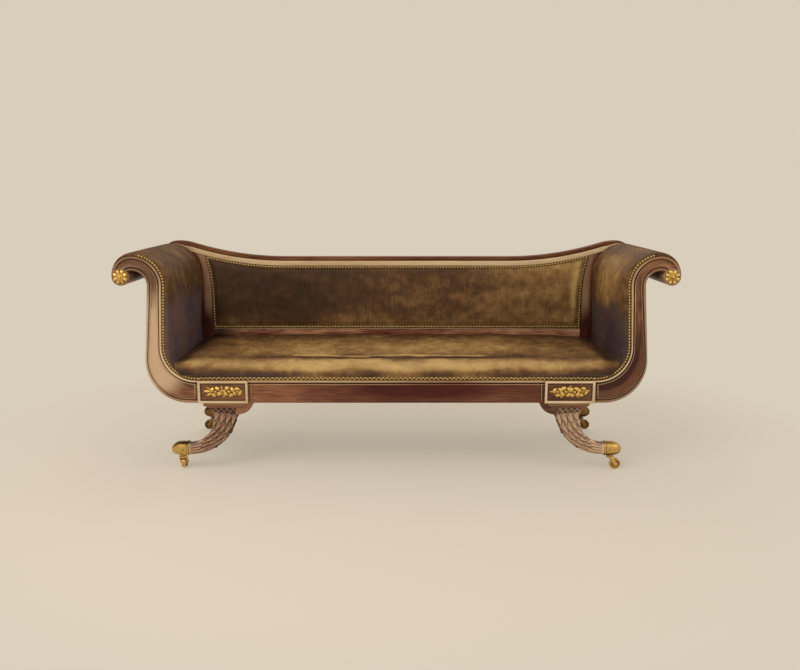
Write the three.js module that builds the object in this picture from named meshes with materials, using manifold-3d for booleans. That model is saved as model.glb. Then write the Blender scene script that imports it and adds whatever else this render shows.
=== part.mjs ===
// Recamier: a scroll-arm sofa on sabre legs with brass casters.
// Millimetres, +Z up, the front faces -Y, the origin is on the floor under the middle.
import * as THREE from 'three';
import { mergeVertices } from 'three/addons/utils/BufferGeometryUtils.js';
import Module from 'manifold-3d';

const wasm = await Module();
wasm.setup();

// Stance of the whole sofa
const overallDepth = 626;
const ornamentProud = 13;
const crestOverhang = 15;
const railHalfLength = 771;
const seatRailTop = 368;
const railHeight = 90;
const frameThickness = 60;
const fitGap = 0.3;

const frontFaceY = ornamentProud - overallDepth / 2;
const rearFaceY = overallDepth / 2 - crestOverhang;
const frontInnerY = frontFaceY + frameThickness;
const rearInnerY = rearFaceY - frameThickness;
const seatRailBottom = seatRailTop - railHeight;

// Arm outline: a corner arc, a straight riser and a scroll that ends in a round eye
const cornerInnerRadius = 127;
const cornerOuterRadius = 162;
const cornerInnerStart = 7;
const cornerOuterStart = 37;
const scrollReach = 232;
const scrollRise = 370;
const scrollTopRadius = 110;
const scrollBandWidth = 55;
const tipRadius = 76;
const eyeRadius = 33;
const eyeDrop = 2;
const eyeRim = 3;
const eyeProud = 1.4;
const eyeSink = 1;
const underEndAngle = THREE.MathUtils.degToRad(55);

// Mouldings along both edges of the arm supports
const beadWidth = 10;
const beadHeight = 4;
const grooveWidth = 4;
const grooveDepth = 6;
const fieldDepth = 3;
const hollowDepth = 4.5;

// Seat rails, end rails and seat braces
const railLineDrop = 15;
const railLineWidth = 4;
const railLineProud = 2;
const railFieldDepth = 3;
const railBandHeight = 7;
const rearArris = 3;
const sideRailThickness = 26;
const sideRailHeight = 78;
const braceWidth = 45;
const braceHeight = 42;
const braceDrop = 30;
const braceOffset = 262;

// Back: stiles, lower rail, crest and the panel between them; ends are measured past the seat rail's
const backFrameThickness = 46;
const panelEnd = 57;
const panelBottom = 479;
const panelFlareStart = 620;
const panelFlareRadius = 668;
const lowerRailHeight = 49;
const lowerRailBead = 5;
const crestRiseStart = 271;
const crestTopHeight = 801;
const crestRiseRadius = 1385;
const crestRiseLength = 405;
const crestPeakRadius = 230;
const crestHeight = 41;
const crestFaceHeight = 22;
const crestStep = 2;
const crestTailPlace = 211;
const crestTailLength = 46;
const crestRearFaceShare = 0.4;
const outsideBackThickness = 6;
const outsideBackEnd = 95;
const outsideBackLap = 60;

// Rolls, arm rails and the outside covers of the arms
const armRailThickness = 30;
const armRailSpan = THREE.MathUtils.degToRad(40);
const outsideArmInset = 8;
const outsideArmThickness = 6;
const outsideArmEnd = THREE.MathUtils.degToRad(72);

// Tablets over the front legs with their gilt mounts
const tabletWidth = 195;
const tabletProud = 10;
const tabletFrameWidth = 11;
const tabletRecess = 5;
const tabletArris = 2;
const mountHalfLength = 73;
const mountHalfHeight = 24;
const mountBaseThickness = 2.5;
const blossomRadius = 16;
const leafLength = 30;
const leafWidth = 13;
const mountStemShare = 0.7;

// Sabre legs, their cap blocks and the brass toe caps; ends are measured past the seat rail's
const capBlockWidth = 162;
const capBlockHeight = 22;
const capBlockInset = 18;
const capFasciaHeight = 11;
const capCove = 9;
const capFoot = 13;
const capSideShare = 0.33;
const capDepth = 66;
const legThicknessTop = 62;
const legThicknessToe = 46;
const legOuterRadius = 102;
const legOuterCentreEnd = 52;
const legOuterCentreZ = 212;
const legInnerRadius = 190;
const legInnerCentreEnd = 41;
const legInnerCentreZ = 252;
const toeEnd = 51;
const toeCapLength = 70;
const toeCapWall = 3;
const toeCapRim = 6;
const toeCapRimProud = 1.5;
const toeCapBarrel = 30;
const toeCapNoseDrop = 5;
const tenonLength = 18;
const tenonInset = 7;
const noseEndShare = 0.12;
const legRoundness = 3.2;
const tenonRoundness = 3;
const toeCapRoundness = 2.8;

// Casters, with the swivel axis measured past the seat rail's end
const swivelEnd = 79;
const wheelRadius = 22;
const wheelWidth = 20;
const wheelHubRadius = 8;
const wheelWebHalf = 5.5;
const wheelRimDepth = 6;
const wheelRimRound = 2.5;
const wheelTreadInset = 4;
const casterTrail = 20;
const stemRadius = 5;
const stemClearance = 0.5;
const stemTop = 82;
const boreTop = 84;
const crownBottom = 46.5;
const crownTop = 55;
const crownRadius = 15;
const collarRadius = 8;
const collarHeight = 2;
const cheekThickness = 4;
const cheekRadius = 7.5;
const cheekTopX = 3;
const wheelSideGap = 0.6;
const axleRadius = 3;
const axleClearance = 0.5;
const axleHeadRadius = 5;
const axleHeadLength = 2;
const axleHeadTaperShare = 0.8;

// Upholstery
const padSetback = 8;
const armPadThickness = 27;
const armPadCrownShare = 1.07;
const padTipAngle = THREE.MathUtils.degToRad(3);
const seatEndAngle = THREE.MathUtils.degToRad(-47);
const seatFrontEndShare = 0.12;
const seatPadHeight = 55;
const seatRollLength = 70;
const seatPadGap = 1.6;
const backPadProud = 22;
const backPadEdgeProud = 3;
const backPadDepth = 24;
const backPadGap = 0.6;
const rosetteRadius = 29;
const webbingWidth = 50;
const webbingThickness = 2;
const webbingPitch = 165;
const webbingRows = 2;
const webbingLap = 30;
const seatBorder = 34;
const seatBorderCrown = 2;

// Facet counts
const cornerSteps = 9;
const scrollSteps = 8;
const tipSteps = 7;
const roundSides = 24;
const boreSides = 12;
const wheelSides = 16;

// Places that follow from the sizes above
const innerCorner = {
  x: railHalfLength + cornerInnerStart,
  z: seatRailTop + cornerInnerRadius,
  r: cornerInnerRadius,
};
const outerCorner = {
  x: railHalfLength + cornerOuterStart,
  z: seatRailBottom + cornerOuterRadius,
  r: cornerOuterRadius,
};
const scrollTop = { x: railHalfLength + scrollReach, z: seatRailTop + scrollRise, r: scrollTopRadius };
const scrollUnder = { x: scrollTop.x, z: scrollTop.z, r: scrollTopRadius - scrollBandWidth };
const tip = { x: scrollTop.x, z: scrollTop.z + scrollTopRadius - tipRadius, r: tipRadius };
const eye = { x: tip.x + tipRadius - eyeRadius, z: tip.z - eyeDrop };
const backFaceY = rearFaceY - backFrameThickness;
const padFrontY = frontFaceY + padSetback;
const padRearY = backFaceY - fitGap;
const padBorderEnd = padFrontY + seatBorder;
const panelHalfWidth = railHalfLength + panelEnd;
const crestStraight = railHalfLength - crestRiseStart;
const crestTailStart = railHalfLength + crestTailPlace;
const outsideBackHalfWidth = railHalfLength + outsideBackEnd;
const toeX = railHalfLength + toeEnd;
const swivelX = railHalfLength + swivelEnd;
const quarter = Math.PI / 2;

// Room for the flats of a faceted curve, added to the fit of what lies along it
const facetSag = cornerInnerRadius * (1 - Math.cos(quarter / (2 * cornerSteps)));
const curveGap = fitGap + facetSag;

// General helpers

const lerp = THREE.MathUtils.lerp;

function stepped(count) {
  return Array.from({ length: count + 1 }, (_, i) => i / count);
}

function blendAlong(table, share) {
  const i = Math.max(1, table.findIndex((row) => row[0] >= share));
  const [a, b] = [table[i - 1], table[i]];
  const t = THREE.MathUtils.smoothstep(share, a[0], b[0]);
  return lerp(a[1], b[1], t);
}

function solid(points, triangles) {
  const positions = points.flatMap((p) => [p.x, p.y, p.z]);
  let volume = 0;
  for (const [a, b, c] of triangles) {
    volume += points[a].dot(new THREE.Vector3().crossVectors(points[b], points[c]));
  }
  const index = triangles.flatMap(([a, b, c]) => (volume < 0 ? [a, c, b] : [a, b, c]));
  const geometry = new THREE.BufferGeometry();
  geometry.setAttribute('position', new THREE.Float32BufferAttribute(positions, 3));
  geometry.setIndex(index);
  geometry.computeVertexNormals();
  return geometry;
}

// Triangles over a flat ring, wound the same way as the ring
function capTriangles(ring) {
  const normal = new THREE.Vector3();
  ring.forEach((p, i) => normal.add(new THREE.Vector3().crossVectors(p, ring[(i + 1) % ring.length])));
  normal.normalize();
  const side = Math.abs(normal.z) < Math.SQRT1_2 ? new THREE.Vector3(0, 0, 1) : new THREE.Vector3(1, 0, 0);
  const u = new THREE.Vector3().crossVectors(side, normal).normalize();
  const v = new THREE.Vector3().crossVectors(normal, u);
  const flat = ring.map((p) => new THREE.Vector2(p.dot(u), p.dot(v)));
  return THREE.ShapeUtils.triangulateShape(flat, []).map(([a, b, c]) => {
    const area = THREE.ShapeUtils.area([flat[a], flat[b], flat[c]]);
    return area < 0 ? [a, c, b] : [a, b, c];
  });
}

// A closed solid through rings of equally many points
function loft(rings) {
  const count = rings[0].length;
  const triangles = [];
  for (let i = 0; i < rings.length - 1; i += 1) {
    for (let j = 0; j < count; j += 1) {
      const a = i * count + j;
      const b = i * count + ((j + 1) % count);
      triangles.push([a, b, b + count], [a, b + count, a + count]);
    }
  }
  const last = (rings.length - 1) * count;
  capTriangles(rings[0]).forEach(([a, b, c]) => triangles.push([a, c, b]));
  capTriangles(rings[rings.length - 1]).forEach(([a, b, c]) => triangles.push([a + last, b + last, c + last]));
  return solid(rings.flat(), triangles);
}

// A closed solid between two grids of equally many points, with its rim in strips
function pillow(front, back) {
  const [rows, columns] = [front.length, front[0].length];
  const size = rows * columns;
  const at = (i, j) => i * columns + j;
  const triangles = [];
  for (let i = 0; i < rows - 1; i += 1) {
    for (let j = 0; j < columns - 1; j += 1) {
      const [a, b, c, d] = [at(i, j), at(i, j + 1), at(i + 1, j + 1), at(i + 1, j)];
      triangles.push([a, b, c], [a, c, d], [a + size, c + size, b + size], [a + size, d + size, c + size]);
    }
  }
  const rim = [
    ...Array.from({ length: rows - 1 }, (_, i) => at(i, 0)),
    ...Array.from({ length: columns - 1 }, (_, j) => at(rows - 1, j)),
    ...Array.from({ length: rows - 1 }, (_, i) => at(rows - 1 - i, columns - 1)),
    ...Array.from({ length: columns - 1 }, (_, j) => at(0, columns - 1 - j)),
  ];
  rim.forEach((a, k) => {
    const b = rim[(k + 1) % rim.length];
    triangles.push([a, b, b + size], [a, b + size, a + size]);
  });
  return solid([...front.flat(), ...back.flat()], triangles);
}

// A flat outline in X and Z with a thickness along Y
function plateXZ(outline, y0, y1) {
  return loft([y0, y1].map((y) => outline.map((p) => new THREE.Vector3(p.x, y, p.y))));
}

// A flat outline in Y and Z drawn out along X
function barYZ(outline, x0, x1) {
  return loft([x0, x1].map((x) => outline.map(([y, z]) => new THREE.Vector3(x, y, z))));
}

function box(x0, x1, y0, y1, z0, z1) {
  return barYZ([[y0, z0], [y1, z0], [y1, z1], [y0, z1]], x0, x1);
}

// A round solid about the Y direction; the profile holds radius and Y
function turnedY(profile, sides, centre) {
  const points = profile.map(([r, y]) => new THREE.Vector2(r, y));
  const geometry = new THREE.LatheGeometry(points, sides);
  geometry.rotateY(Math.PI / sides);
  geometry.translate(centre.x, 0, centre.z);
  return geometry;
}

// A round solid about the Z direction; the profile holds radius and Z
function turnedZ(profile, sides) {
  const geometry = new THREE.LatheGeometry(profile.map(([r, z]) => new THREE.Vector2(r, z)), sides);
  return geometry.rotateX(quarter);
}

function toManifold(geometry) {
  const bare = geometry.clone();
  bare.deleteAttribute('normal');
  bare.deleteAttribute('uv');
  const merged = mergeVertices(bare);
  return new wasm.Manifold(new wasm.Mesh({
    numProp: 3,
    vertProperties: merged.attributes.position.array,
    triVerts: Uint32Array.from(merged.index.array),
  }));
}

function fromManifold(body) {
  const mesh = body.getMesh();
  const geometry = new THREE.BufferGeometry();
  geometry.setAttribute('position', new THREE.Float32BufferAttribute(mesh.vertProperties, 3));
  geometry.setIndex(Array.from(mesh.triVerts));
  geometry.computeVertexNormals();
  return geometry;
}

function joined(...geometries) {
  return fromManifold(geometries.map(toManifold).reduce((a, b) => a.add(b)));
}

function cut(geometry, ...cutters) {
  return fromManifold(cutters.map(toManifold).reduce((a, b) => a.subtract(b), toManifold(geometry)));
}

function mirrored(geometry) {
  const copy = geometry.clone();
  const position = copy.attributes.position;
  for (let i = 0; i < position.count; i += 1) position.setX(i, -position.getX(i));
  const index = Array.from(copy.index.array);
  for (let i = 0; i < index.length; i += 3) [index[i], index[i + 1]] = [index[i + 1], index[i]];
  copy.setIndex(index);
  copy.computeVertexNormals();
  return copy;
}

// A round-cornered section between full ellipse and rectangle
function roundSection(halfWidth, halfHeight, sides, power) {
  return stepped(sides).slice(0, -1).map((share) => {
    const angle = 2 * Math.PI * share + Math.PI / sides;
    const [c, s] = [Math.cos(angle), Math.sin(angle)];
    const grow = (Math.abs(c) ** power + Math.abs(s) ** power) ** (-1 / power);
    return [halfWidth * grow * c, halfHeight * grow * s];
  });
}

// Arm outline

function arc(circle, from, to, offset = 0) {
  const radius = circle.r + offset;
  return new THREE.EllipseCurve(circle.x, circle.z, radius, radius, from, to, to < from);
}

function crossTangent(corner, scroll) {
  const [dx, dz] = [scroll.x - corner.x, scroll.z - corner.z];
  return Math.atan2(dz, dx) + Math.asin((corner.r + scroll.r) / Math.hypot(dx, dz));
}

const innerHeading = crossTangent(innerCorner, scrollTop);
const outerHeading = crossTangent(outerCorner, scrollUnder);

// Curves of the inner edge; a positive lift moves them to the upholstered side
function innerEdge(lift, fromAngle) {
  const corner = arc(innerCorner, fromAngle, innerHeading - quarter, -lift);
  const scroll = arc(scrollTop, innerHeading + quarter, quarter, lift);
  const riser = new THREE.LineCurve(corner.getPoint(1), scroll.getPoint(0));
  return { corner, riser, scroll, end: arc(tip, quarter, 0, lift) };
}

// Curves of the outer edge; a positive lift moves them into the arm
function outerEdge(lift, underEnd) {
  const corner = arc(outerCorner, -quarter, outerHeading - quarter, -lift);
  const scroll = arc(scrollUnder, outerHeading + quarter, quarter, lift);
  const riser = new THREE.LineCurve(corner.getPoint(1), scroll.getPoint(0));
  return { corner, riser, scroll, end: arc(scrollUnder, quarter, underEnd, lift) };
}

function fromStart(x, corner) {
  const path = new THREE.CurvePath();
  const first = corner.getPoint(0);
  path.add(new THREE.LineCurve(new THREE.Vector2(x, first.y), first));
  path.add(corner);
  return path;
}

function pointsAlong(curves, counts) {
  return curves.flatMap((curve, i) => {
    const shares = stepped(counts[i]);
    return (i ? shares.slice(1) : shares).map((share) => curve.getPoint(share));
  });
}

const armSteps = [cornerSteps, 1, scrollSteps, tipSteps];

// Pairs of facing points on the two edges, from the rail end to the eye
function armStations() {
  const start = railHalfLength + fitGap;
  const inner = innerEdge(0, -quarter);
  const outer = outerEdge(0, underEndAngle);
  const along = (edge) => (
    pointsAlong([fromStart(start, edge.corner), edge.riser, edge.scroll, edge.end], armSteps));
  const outerPoints = along(outer);
  return along(inner).map((point, i) => [point, outerPoints[i]]);
}

// Distance from an edge and depth behind the front face, for the moulding of one edge
function edgeMoulding() {
  const bead = stepped(4).map((share) => [
    beadWidth * (1 - Math.cos(Math.PI * share)) / 2,
    beadHeight * (1 - Math.sin(Math.PI * share)),
  ]);
  const grooveEnd = beadWidth + grooveWidth;
  return [...bead, [beadWidth, grooveDepth], [grooveEnd, grooveDepth], [grooveEnd, fieldDepth]];
}

function armBand(section) {
  return loft(armStations().map(([inner, outer]) => {
    const width = inner.distanceTo(outer);
    return section(width).map(([across, y]) => {
      const p = new THREE.Vector2().lerpVectors(inner, outer, across / width);
      return new THREE.Vector3(p.x, y, p.y);
    });
  }));
}

function eyeBoss(y0, y1) {
  const rim = eyeRadius - eyeRim;
  const profile = [[0, y0 + eyeSink], [rim, y0 + eyeSink], [rim + eyeRim / 2, y0], [eyeRadius, y0 + eyeRim],
    [eyeRadius, y1], [0, y1]];
  return turnedY(profile, roundSides, eye);
}

function frontArmSupport() {
  const back = frontInnerY;
  const moulding = edgeMoulding();
  const section = (width) => [
    [0, back],
    ...moulding.map(([across, depth]) => [across, frontFaceY + depth]),
    [width / 2, frontFaceY + hollowDepth],
    ...moulding.map(([across, depth]) => [width - across, frontFaceY + depth]).reverse(),
    [width, back],
  ];
  return joined(armBand(section), eyeBoss(frontFaceY - eyeProud, back - fitGap));
}

function rearArmSupport() {
  const section = (width) => [[0, rearInnerY], [0, rearFaceY], [width, rearFaceY], [width, rearInnerY]];
  const [y0, y1] = [rearInnerY + fitGap, rearFaceY - fitGap];
  const boss = turnedY([[0, y0], [eyeRadius, y0], [eyeRadius, y1], [0, y1]], roundSides, eye);
  return joined(armBand(section), boss);
}

function armRoll() {
  const [y0, y1] = [frontInnerY + fitGap, rearInnerY - fitGap];
  return turnedY([[0, y0], [eyeRadius, y0], [eyeRadius, y1], [0, y1]], roundSides, eye);
}

function armTopRail() {
  const [from, to] = [quarter + armRailSpan, quarter];
  const upper = arc(scrollTop, from, to, -fitGap);
  const lower = arc(scrollTop, to, from, -armRailThickness);
  const outline = pointsAlong([upper], [scrollSteps]).concat(pointsAlong([lower], [scrollSteps]));
  return plateXZ(outline, frontInnerY + fitGap, rearInnerY - fitGap);
}

function outsideArmCover() {
  const start = railHalfLength + 2 * fitGap;
  const side = (lift) => {
    const edge = outerEdge(lift, outsideArmEnd);
    const curves = [fromStart(start, edge.corner), edge.riser, edge.scroll, edge.end];
    return pointsAlong(curves, [cornerSteps, 1, scrollSteps, 2]);
  };
  const outline = side(outsideArmInset).concat(side(outsideArmInset + outsideArmThickness).reverse());
  return plateXZ(outline, frontInnerY + fitGap, rearInnerY - fitGap);
}

// Seat frame

function frontSeatRail() {
  const [top, face] = [seatRailTop, frontFaceY];
  const bead = stepped(4).map((share) => [
    face + beadHeight * (1 - Math.sin(Math.PI * share)),
    top - beadWidth * (1 + Math.cos(Math.PI * share)) / 2,
  ]);
  const line = top - railLineDrop;
  const outline = [
    [frontInnerY, seatRailBottom],
    [face + railLineProud / 2, seatRailBottom],
    [face + railLineProud / 2, seatRailBottom + railBandHeight],
    [face + railFieldDepth, seatRailBottom + railBandHeight],
    [face + railFieldDepth, line - railLineWidth],
    [face + railFieldDepth - railLineProud, line - railLineWidth / 2],
    [face + railFieldDepth, line],
    [face + grooveDepth, line],
    [face + grooveDepth, top - beadWidth],
    ...bead,
    [frontInnerY, top],
  ];
  return barYZ(outline, -railHalfLength, railHalfLength);
}

function rearSeatRail() {
  const outline = [
    [rearInnerY, seatRailBottom], [rearFaceY - rearArris, seatRailBottom],
    [rearFaceY, seatRailBottom + rearArris], [rearFaceY, seatRailTop - rearArris],
    [rearFaceY - rearArris, seatRailTop], [rearInnerY, seatRailTop],
  ];
  return barYZ(outline, -railHalfLength, railHalfLength);
}

function sideRail() {
  return box(railHalfLength - sideRailThickness, railHalfLength, frontInnerY + fitGap, rearInnerY - fitGap,
    seatRailTop - sideRailHeight, seatRailTop);
}

function seatBrace() {
  const top = seatRailTop - braceDrop;
  return box(braceOffset - braceWidth / 2, braceOffset + braceWidth / 2,
    frontInnerY + fitGap, rearInnerY - fitGap, top - braceHeight, top);
}

function seatWebbing() {
  const [z0, z1] = [seatRailTop + fitGap, seatRailTop + fitGap + webbingThickness];
  const [y0, y1] = [padBorderEnd + 2 * webbingThickness, rearInnerY + webbingLap];
  const half = webbingWidth / 2;
  const columns = Math.floor((railHalfLength - webbingWidth) / webbingPitch);
  const across = Array.from({ length: 2 * columns + 1 }, (_, i) => (i - columns) * webbingPitch)
    .map((x) => box(x - half, x + half, y0, y1, z0, z1));
  const reach = railHalfLength - sideRailThickness / 4;
  const along = stepped(webbingRows + 1).slice(1, -1).map((share) => lerp(frontInnerY, rearInnerY, share))
    .map((y) => box(-reach, reach, y - half, y + half, z0, z1));
  return joined(...across, ...along);
}

// Back frame

function crestTop(x) {
  const run = Math.max(0, Math.abs(x) - crestStraight);
  if (run <= crestRiseLength) {
    return crestTopHeight + crestRiseRadius - Math.sqrt(crestRiseRadius ** 2 - run ** 2);
  }
  const slope = Math.asin(crestRiseLength / crestRiseRadius);
  const riseEnd = crestTopHeight + crestRiseRadius * (1 - Math.cos(slope));
  const fromPeak = run - crestRiseLength - crestPeakRadius * Math.sin(slope);
  return riseEnd - crestPeakRadius * Math.cos(slope) + Math.sqrt(crestPeakRadius ** 2 - fromPeak ** 2);
}

// Top of the rear arm support under the crest's tail
function supportTop(x) {
  const circle = x > scrollTop.x ? tip : scrollTop;
  const inside = circle.r ** 2 - (x - circle.x) ** 2;
  return inside > 0 ? circle.z + Math.sqrt(inside) : 0;
}

function crestBottom(x) {
  return Math.max(crestTop(x) - crestHeight, supportTop(Math.abs(x)) + curveGap);
}

// Outer end of the panel opening at a height: upright, then flared
function panelEdge(z) {
  const rise = Math.max(0, z - panelFlareStart);
  return panelHalfWidth + panelFlareRadius - Math.sqrt(panelFlareRadius ** 2 - rise ** 2);
}

function panelCorner() {
  let z = crestTopHeight;
  for (let i = 0; i < 8; i += 1) z = crestBottom(panelEdge(z));
  return { x: panelEdge(z), z };
}

const panelTop = panelCorner();

// Places along the crest, from its straight to the end of its tail
function crestPlaces() {
  const tailShares = [0.35, 0.6, 0.8, 0.93, 0.99];
  const overArm = scrollTop.x - scrollTopRadius;
  const rising = stepped(8).map((share) => lerp(crestStraight, overArm, share));
  const landing = stepped(6).slice(1).map((share) => lerp(overArm, crestTailStart, share));
  return [...rising, ...landing, ...tailShares.map((share) => crestTailStart + share * crestTailLength)];
}

function bothSides(half) {
  return [...half.map((x) => -x).reverse(), ...half];
}

function crestRail() {
  const xs = bothSides(crestPlaces());
  const back = overallDepth / 2;
  return loft(xs.map((x) => {
    const past = Math.max(0, Math.abs(x) - crestTailStart) / crestTailLength;
    const bottom = crestBottom(x);
    const height = (crestTop(x) - bottom) * Math.sqrt(1 - past ** 2);
    const face = bottom + Math.min(crestFaceHeight, height * crestFaceHeight / crestHeight);
    const topLift = bottom + height - face;
    const depth = back - backFaceY;
    const roundShares = [[0.12, 0.55], [0.3, 0.88], [0.55, 1], [0.8, 0.88], [0.95, 0.5]];
    const section = [
      [backFaceY, bottom], [backFaceY, face], [backFaceY + crestStep, face],
      ...roundShares.map(([along, up]) => [backFaceY + depth * along, face + topLift * up]),
      [back, face], [back, lerp(bottom, face, crestRearFaceShare)], [rearFaceY + fitGap, bottom],
    ];
    return section.map(([y, z]) => new THREE.Vector3(x, y, z));
  }));
}

function backLowerRail() {
  const [z0, z1] = [panelBottom - lowerRailHeight, panelBottom];
  const outline = [
    [rearFaceY, z0], [rearFaceY, z1], [backFaceY + crestStep, z1], [backFaceY, z1 - lowerRailBead / 2],
    [backFaceY, z1 - lowerRailBead], [backFaceY + crestStep, z1 - lowerRailBead], [backFaceY + crestStep, z0],
  ];
  const reach = panelHalfWidth - fitGap;
  return barYZ(outline, -reach, reach);
}

// Each stile stands in the arm's curve and runs up under the crest
function backStile() {
  const startAngle = -Math.acos((panelHalfWidth - innerCorner.x) / (innerCorner.r - curveGap));
  const edge = innerEdge(curveGap, startAngle);
  const rising = pointsAlong([edge.corner, edge.riser, edge.scroll], [cornerSteps, 1, 3 * scrollSteps]);
  const outer = rising.filter((p) => p.y < crestTop(p.x) - crestHeight - fitGap);
  const last = outer[outer.length - 1];
  const under = stepped(4).map((share) => lerp(last.x, panelTop.x, share)).slice(1)
    .map((x) => new THREE.Vector2(x, crestBottom(x) - fitGap));
  const inner = stepped(5).slice(1).map((share) => lerp(panelTop.z, panelFlareStart, share))
    .map((z) => new THREE.Vector2(panelEdge(z), z));
  return plateXZ([...outer, ...under, ...inner], backFaceY, rearFaceY);
}

function outsideBack() {
  const places = crestPlaces().filter((x) => x < outsideBackHalfWidth);
  const top = bothSides([...places, outsideBackHalfWidth])
    .map((x) => new THREE.Vector2(x, crestBottom(x) - fitGap));
  const bottom = seatRailTop - outsideBackLap;
  const foot = [outsideBackHalfWidth, -outsideBackHalfWidth].map((x) => new THREE.Vector2(x, bottom));
  return plateXZ([...top, ...foot], rearFaceY + fitGap, rearFaceY + fitGap + outsideBackThickness);
}

// Tablets, gilt mounts and rosettes

const tabletX = railHalfLength - tabletWidth / 2;

function tablet() {
  const rect = (inset, y) => {
    const [w, h] = [tabletWidth / 2 - inset, railHeight / 2 - inset];
    const z = seatRailTop - railHeight / 2;
    return [[-w, -h], [w, -h], [w, h], [-w, h]].map(([dx, dz]) => new THREE.Vector3(tabletX + dx, y, z + dz));
  };
  const front = frontFaceY - tabletProud;
  return loft([
    rect(0, frontFaceY - fitGap), rect(0, front + tabletArris), rect(tabletArris, front),
    rect(tabletFrameWidth - tabletArris, front), rect(tabletFrameWidth, front + tabletArris),
    rect(tabletFrameWidth, front + tabletRecess),
  ]);
}

// A flower with rounded petals; it lies on a face and stands out towards the front
function blossom(centre, radius, petals, stepsPerPetal, base, proud) {
  const sides = petals * stepsPerPetal;
  const profileShares = [[1, 0], [1, 0.3], [0.7, 0.75], [0.36, 0.45], [0.22, 1]];
  return loft(profileShares.map(([out, up]) => stepped(sides).slice(0, -1).map((share) => {
    const lobe = Math.abs(Math.sin(Math.PI * petals * share)) ** 0.7;
    const reach = radius * out * lerp(1 - 0.34 * out, 1, lobe);
    const angle = 2 * Math.PI * share;
    const [dx, dz] = [reach * Math.cos(angle), reach * Math.sin(angle)];
    return new THREE.Vector3(centre.x + dx, base - proud * up, centre.z + dz);
  })));
}

function leaf(centre, angle, base, proud) {
  const outlineShares = [[-0.5, 0], [-0.2, 0.38], [0.1, 0.5], [0.35, 0.26],
    [0.5, 0], [0.35, -0.26], [0.1, -0.5], [-0.2, -0.38]];
  const layerShares = [[1, 0], [1, 0.3], [0.45, 0.8]];
  const turn = (x, z) => [x * Math.cos(angle) - z * Math.sin(angle), x * Math.sin(angle) + z * Math.cos(angle)];
  return loft(layerShares.map(([size, up]) => outlineShares.map(([along, across]) => {
    const [dx, dz] = turn(leafLength * along * size, leafWidth * across * size);
    return new THREE.Vector3(centre.x + dx, base - proud * up, centre.z + dz);
  })));
}

function tabletMount() {
  const back = frontFaceY - tabletProud + tabletRecess - fitGap;
  const proud = back + overallDepth / 2;
  const z = seatRailTop - railHeight / 2;
  const place = (along, up) => ({ x: tabletX + mountHalfLength * along, z: z + mountHalfHeight * up });
  const blossomShares = [[-0.46, 0.14, 1], [-0.14, -0.2, 0.8], [0.16, 0.2, 0.9], [0.48, -0.1, 1]];
  const flowers = blossomShares.map(([along, up, size]) => (
    blossom(place(along, up), blossomRadius * size, 5, 3, back, proud)));
  const leafShares = [[-0.8, 0.1, Math.PI], [-0.68, -0.42, 1.2 * Math.PI], [-0.3, 0.5, 0.6 * Math.PI],
    [0.02, -0.42, 1.6 * Math.PI], [0.44, 0.5, 0.25 * Math.PI], [0.8, 0, 0]];
  const leaves = leafShares.map(([along, up, angle]) => leaf(place(along, up), angle, back, proud));
  const stemReach = mountStemShare * mountHalfLength;
  const stem = box(tabletX - stemReach, tabletX + stemReach, back - mountBaseThickness, back,
    z - mountBaseThickness, z + mountBaseThickness);
  return joined(stem, ...flowers, ...leaves);
}

function rosette() {
  const back = frontFaceY - eyeProud + eyeSink - fitGap;
  return blossom(eye, rosetteRadius, 8, 4, back, back + overallDepth / 2);
}

// Legs

const legCentreY = { front: frontFaceY + frameThickness / 2, rear: rearFaceY - frameThickness / 2 };
const legTop = seatRailBottom - capBlockHeight;
const capBlockX = railHalfLength - capBlockInset - capBlockWidth / 2;

function legCapBlock(centreY) {
  const rect = (inset, z) => {
    const [w, d] = [capBlockWidth / 2 - inset, capDepth / 2 - inset * capSideShare];
    return [[-w, -d], [w, -d], [w, d], [-w, d]]
      .map(([dx, dy]) => new THREE.Vector3(capBlockX + dx, centreY + dy, z));
  };
  const top = seatRailBottom - fitGap;
  const coveHeight = capBlockHeight - capFasciaHeight;
  const cove = stepped(3).map((share) => rect(capCove * Math.sin(quarter * share) + capFoot * share ** 3,
    seatRailBottom - capFasciaHeight - coveHeight * (1 - Math.cos(quarter * share))));
  return loft([rect(0, top), ...cove]);
}

// Angle on a circle where it reaches a height on its left, or a width at its foot
function angleAtHeight(circle, z) {
  return Math.PI - Math.asin((z - circle.z) / circle.r);
}

function angleAtWidth(circle, x) {
  return 2 * Math.PI - Math.acos((x - circle.x) / circle.r);
}

const legOuter = { x: railHalfLength + legOuterCentreEnd, z: legOuterCentreZ, r: legOuterRadius };
const legInner = { x: railHalfLength + legInnerCentreEnd, z: legInnerCentreZ, r: legInnerRadius };

// Outer and inner points of the leg's side view, from under the cap block to the toe
function legStation(share) {
  return [legOuter, legInner].map((circle) => {
    const angle = lerp(angleAtHeight(circle, legTop - fitGap), angleAtWidth(circle, toeX), share);
    return new THREE.Vector2(circle.x + circle.r * Math.cos(angle), circle.z + circle.r * Math.sin(angle));
  });
}

function legTenon(centreY, spare) {
  const [outer, inner] = legStation(1);
  const z = (outer.y + inner.y) / 2;
  const halfHeight = (outer.y - inner.y) / 2 - tenonInset + spare;
  const halfWidth = legThicknessToe / 2 - tenonInset + spare;
  const section = roundSection(halfWidth, halfHeight, boreSides, tenonRoundness);
  const xs = [toeX - tenonInset, toeX + tenonLength + spare];
  return loft(xs.map((x) => section.map(([dy, dz]) => new THREE.Vector3(x, centreY + dy, z + dz))));
}

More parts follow.
